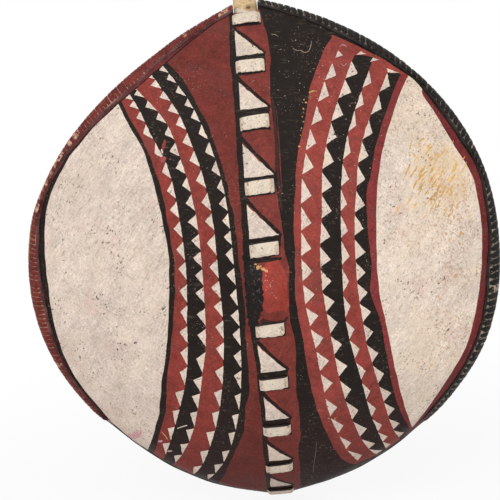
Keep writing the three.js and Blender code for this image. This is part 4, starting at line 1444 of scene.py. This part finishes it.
def make_lashing(index, place, shift, material):
    """A strap across the face, down through two slits and lapped behind the stave."""
    x, depth = strap_path()
    half_width = LASHING_WIDTH / 2 - 0.2
    along = np.stack([np.gradient(x), np.gradient(depth)], 1)
    along /= np.hypot(along[:, 0], along[:, 1])[:, None]
    out = np.stack([along[:, 1], -along[:, 0]], 1)
    tilt = 0.055 + rng.normal(0, 0.012)
    front = smooth((3.0 - depth) / 2.0)
    narrow = 1 - 0.1 * smooth((-x - 8) / 8) * front * rng.uniform(0, 1)
    edges = wobble(len(x), 0.35), wobble(len(x), 0.35)
    raised = relief(np.clip(x, -16, 16), np.full_like(x, place)) * smooth((2.5 - depth) / 1.5)
    half_thick = LASHING_THICKNESS / 2 * 0.95
    rows = []
    for a, b in STRAP:
        ragged = edges[a > 0] * (abs(a) > 0.9) * (1 + 1.4 * front * (np.abs(x) > 12))
        v = place + a * (half_width * narrow + ragged) + (tilt * x + shift) * front
        rows.append(stave_point(v, x + out[:, 0] * b * half_thick,
                                depth + out[:, 1] * b * half_thick - raised))
    points = np.stack(rows, 1)
    count, columns = points.shape[:2]
    obj = make_object(f"lashing_{index}", points.reshape(-1, 3), sweep_faces(count, columns),
                      f"stave_lashing_{index}", material, 50)
    shares = np.array([a for a, _ in STRAP])
    folded = np.exp(-((np.abs(x) - 14.6) / 1.5) ** 2) * front
    lined = (shares > 0.8) * (0.0 if index == 1 else 1.0)
    point_layer(obj, "front", np.broadcast_to(front[:, None], (count, columns)))
    point_layer(obj, "fold", np.broadcast_to(folded[:, None], (count, columns)))
    point_layer(obj, "line", front[:, None] * lined[None, :])


# The stage

def make_lamp(name, place, target, size, power):
    data = bpy.data.lights.new(name, "AREA")
    data.shape = "RECTANGLE"
    data.size, data.size_y = size
    data.energy = power
    lamp = bpy.data.objects.new(name, data)
    lamp.location = place
    lamp.rotation_euler = (Vector(target) - Vector(place)).to_track_quat("-Z", "Y").to_euler()
    scene.collection.objects.link(lamp)


# Place in millimetres, and degrees that it looks down and is rolled by
CAMERA_PLACE = (-17.69, -1536.37, 399.0)
CAMERA_DOWN = 12.9
CAMERA_ROLL = 4.3
WORLD_STRENGTH = 0.55
FLOOR_HALF_WIDTH = 9.0


def make_camera():
    """The photograph's place, with the small roll that it was taken with."""
    down = math.radians(CAMERA_DOWN)
    roll = math.radians(CAMERA_ROLL)
    level = Vector((1.0, 0.0, 0.0))
    back = Vector((0.0, -math.cos(down), math.sin(down)))
    upright = back.cross(level)
    right = math.cos(roll) * level - math.sin(roll) * upright
    up = math.sin(roll) * level + math.cos(roll) * upright
    data = bpy.data.cameras.new("camera")
    data.lens = 90.0
    data.sensor_width = 36.0
    data.clip_end = 50.0
    camera = bpy.data.objects.new("camera", data)
    matrix = Matrix((right, up, back)).transposed().to_4x4()
    matrix.translation = Vector(CAMERA_PLACE) * MM
    camera.matrix_world = matrix
    scene.collection.objects.link(camera)
    scene.camera = camera


def seen_share(tree):
    """One for rays from the camera and for those it sees mirrored or through something, else zero."""
    path = tree.nodes.new("ShaderNodeLightPath")
    share = path.outputs["Is Camera Ray"]
    for kind in ("Is Glossy Ray", "Is Transmission Ray"):
        add = tree.nodes.new("ShaderNodeMath")
        add.operation = "ADD"
        tree.links.new(share, add.inputs[0])
        tree.links.new(path.outputs[kind], add.inputs[1])
        share = add.outputs[0]
    return share


def make_world():
    """Soft light from all round, and plain white where the camera looks past the floor."""
    world = bpy.data.worlds.new("studio")
    scene.world = world
    world.use_nodes = True
    tree = world.node_tree
    tree.nodes.clear()
    soft = tree.nodes.new("ShaderNodeBackground")
    soft.inputs["Color"].default_value = (0.97, 0.98, 1.0, 1.0)
    soft.inputs["Strength"].default_value = WORLD_STRENGTH
    white = tree.nodes.new("ShaderNodeBackground")
    white.inputs["Color"].default_value = (1.0, 1.0, 1.0, 1.0)
    white.inputs["Strength"].default_value = 1.0
    mixed = tree.nodes.new("ShaderNodeMixShader")
    output = tree.nodes.new("ShaderNodeOutputWorld")
    tree.links.new(seen_share(tree), mixed.inputs[0])
    tree.links.new(soft.outputs[0], mixed.inputs[1])
    tree.links.new(white.outputs[0], mixed.inputs[2])
    tree.links.new(mixed.outputs[0], output.inputs["Surface"])


def make_floor(lowest):
    """A pale floor that shows white further out and keeps the object's shadow."""
    far = FLOOR_HALF_WIDTH
    mesh = bpy.data.meshes.new("floor")
    corners = [(-far, -far, lowest), (far, -far, lowest), (far, far, lowest), (-far, far, lowest)]
    mesh.from_pydata(corners, [], [(0, 1, 2, 3)])
    floor = bpy.data.objects.new("floor", mesh)
    scene.collection.objects.link(floor)
    s = Shader("pale floor")
    pale = s.mix(s.noise(3.0), (0.9, 0.9, 0.9, 1), (0.93, 0.93, 0.93, 1))
    matte = s.add("ShaderNodeBsdfDiffuse", {"Color": pale}).outputs[0]
    glow = s.add("ShaderNodeEmission", {"Color": (1, 1, 1, 1), "Strength": 1.0}).outputs[0]
    away = s.math("SQRT", s.total(s.product(s.x, s.x), s.product(s.y, s.y)))
    share = s.product(seen_share(s.tree), s.step(away, 0.25, 1.1, 0.88, 1.0))
    mixed = s.add("ShaderNodeMixShader", {0: share, 1: matte, 2: glow}).outputs[0]
    output = s.add("ShaderNodeOutputMaterial")
    s.tree.links.new(mixed, output.inputs["Surface"])
    mesh.materials.append(s.material)
    floor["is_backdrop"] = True


# The whole shield

def left_bare(v, outward):
    """Share of bare hide: on the left rim's outside, a little above the middle."""
    return smooth((v - 30) / 20) * smooth((90 - v) / 20) * smooth((outward - 2) / 2)


def right_bare(v, outward):
    """Share of bare hide: on the right rim's outside, round and below the middle."""
    start = 5.5 - 3 * smooth((-v - 20) / 70)
    return smooth((60 - v) / 20) * smooth((v + 165) / 25) * smooth((outward - start) / 1.5)


def left_crests(v):
    """Share of broadly worn wraps, and strength of their pale upper edges, which are wear and painted highlight.
    """
    broad = 0.65 * smooth((v - 95) / 25) * smooth((235 - v) / 25) + 0.1 * smooth((95 - v) / 25)
    broad = broad + 0.3 * smooth((v - 338) / 12) + 0.5 * smooth((v - 368) / 15)
    return broad, 0.55 * smooth((300 - v) / 40) + 0.15


def right_crests(v):
    # the same for the right rim; its pale upper edges are wear and painted highlight
    return 0.06 * smooth((90 - v) / 30) * smooth((v + 60) / 30), 0.42 + 0.18 * smooth((100 - v) / 60)


scene.view_settings.view_transform = "Standard"

painted = painted_shapes()
make_hide(painted)

left_rim = Rim(-1, left_rim_line(), cover_start=-178.0, cover_full=-212.0, strip=2.6)
right_rim = Rim(1, RIGHT_RIM_OUTER, cover_start=-222.0, cover_full=-254.0, strip=2.4)
red_hide = rim_material("red rim hide", ((126, 50, 42), (90, 34, 30)), ((98, 66, 64), (68, 40, 40)),
                        (206, 160, 130), (196, 150, 128), ((206, 168, 120), (150, 112, 74)))
black_hide = rim_material("black rim hide", ((31, 26, 23), (18, 16, 15)), ((44, 36, 33), (24, 21, 20)),
                          (176, 158, 140), (186, 168, 148), ((150, 134, 104), (112, 98, 72)))
cane = wood_material("split cane", (178, 142, 96), (120, 90, 58))

make_rim(left_rim, "left", LEFT_WINDING, left_crests, red_hide, left_bare, cane, painted)
make_rim(right_rim, "right", RIGHT_WINDING, right_crests, black_hide, right_bare, cane,
         painted)

make_stave(wood_material("peeled stave wood", (230, 202, 160), (200, 162, 110)))
make_grip(leather_material())
strap = strap_material()
for index, (place, shift) in enumerate(zip(lashing_places(), STRAP_SHIFTS), 1):
    make_lashing(index, place, shift, strap)

make_floor(min(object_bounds()[0][2], cad_bounds[0][2]))
make_lamp("key", (-0.9, -2.2, 2.3), (0, 0, 0.05), (2.2, 1.6), 46.0)
make_lamp("fill", (2.0, -2.4, 1.0), (0, 0, 0), (2.0, 2.0), 16.0)
make_world()
make_camera()
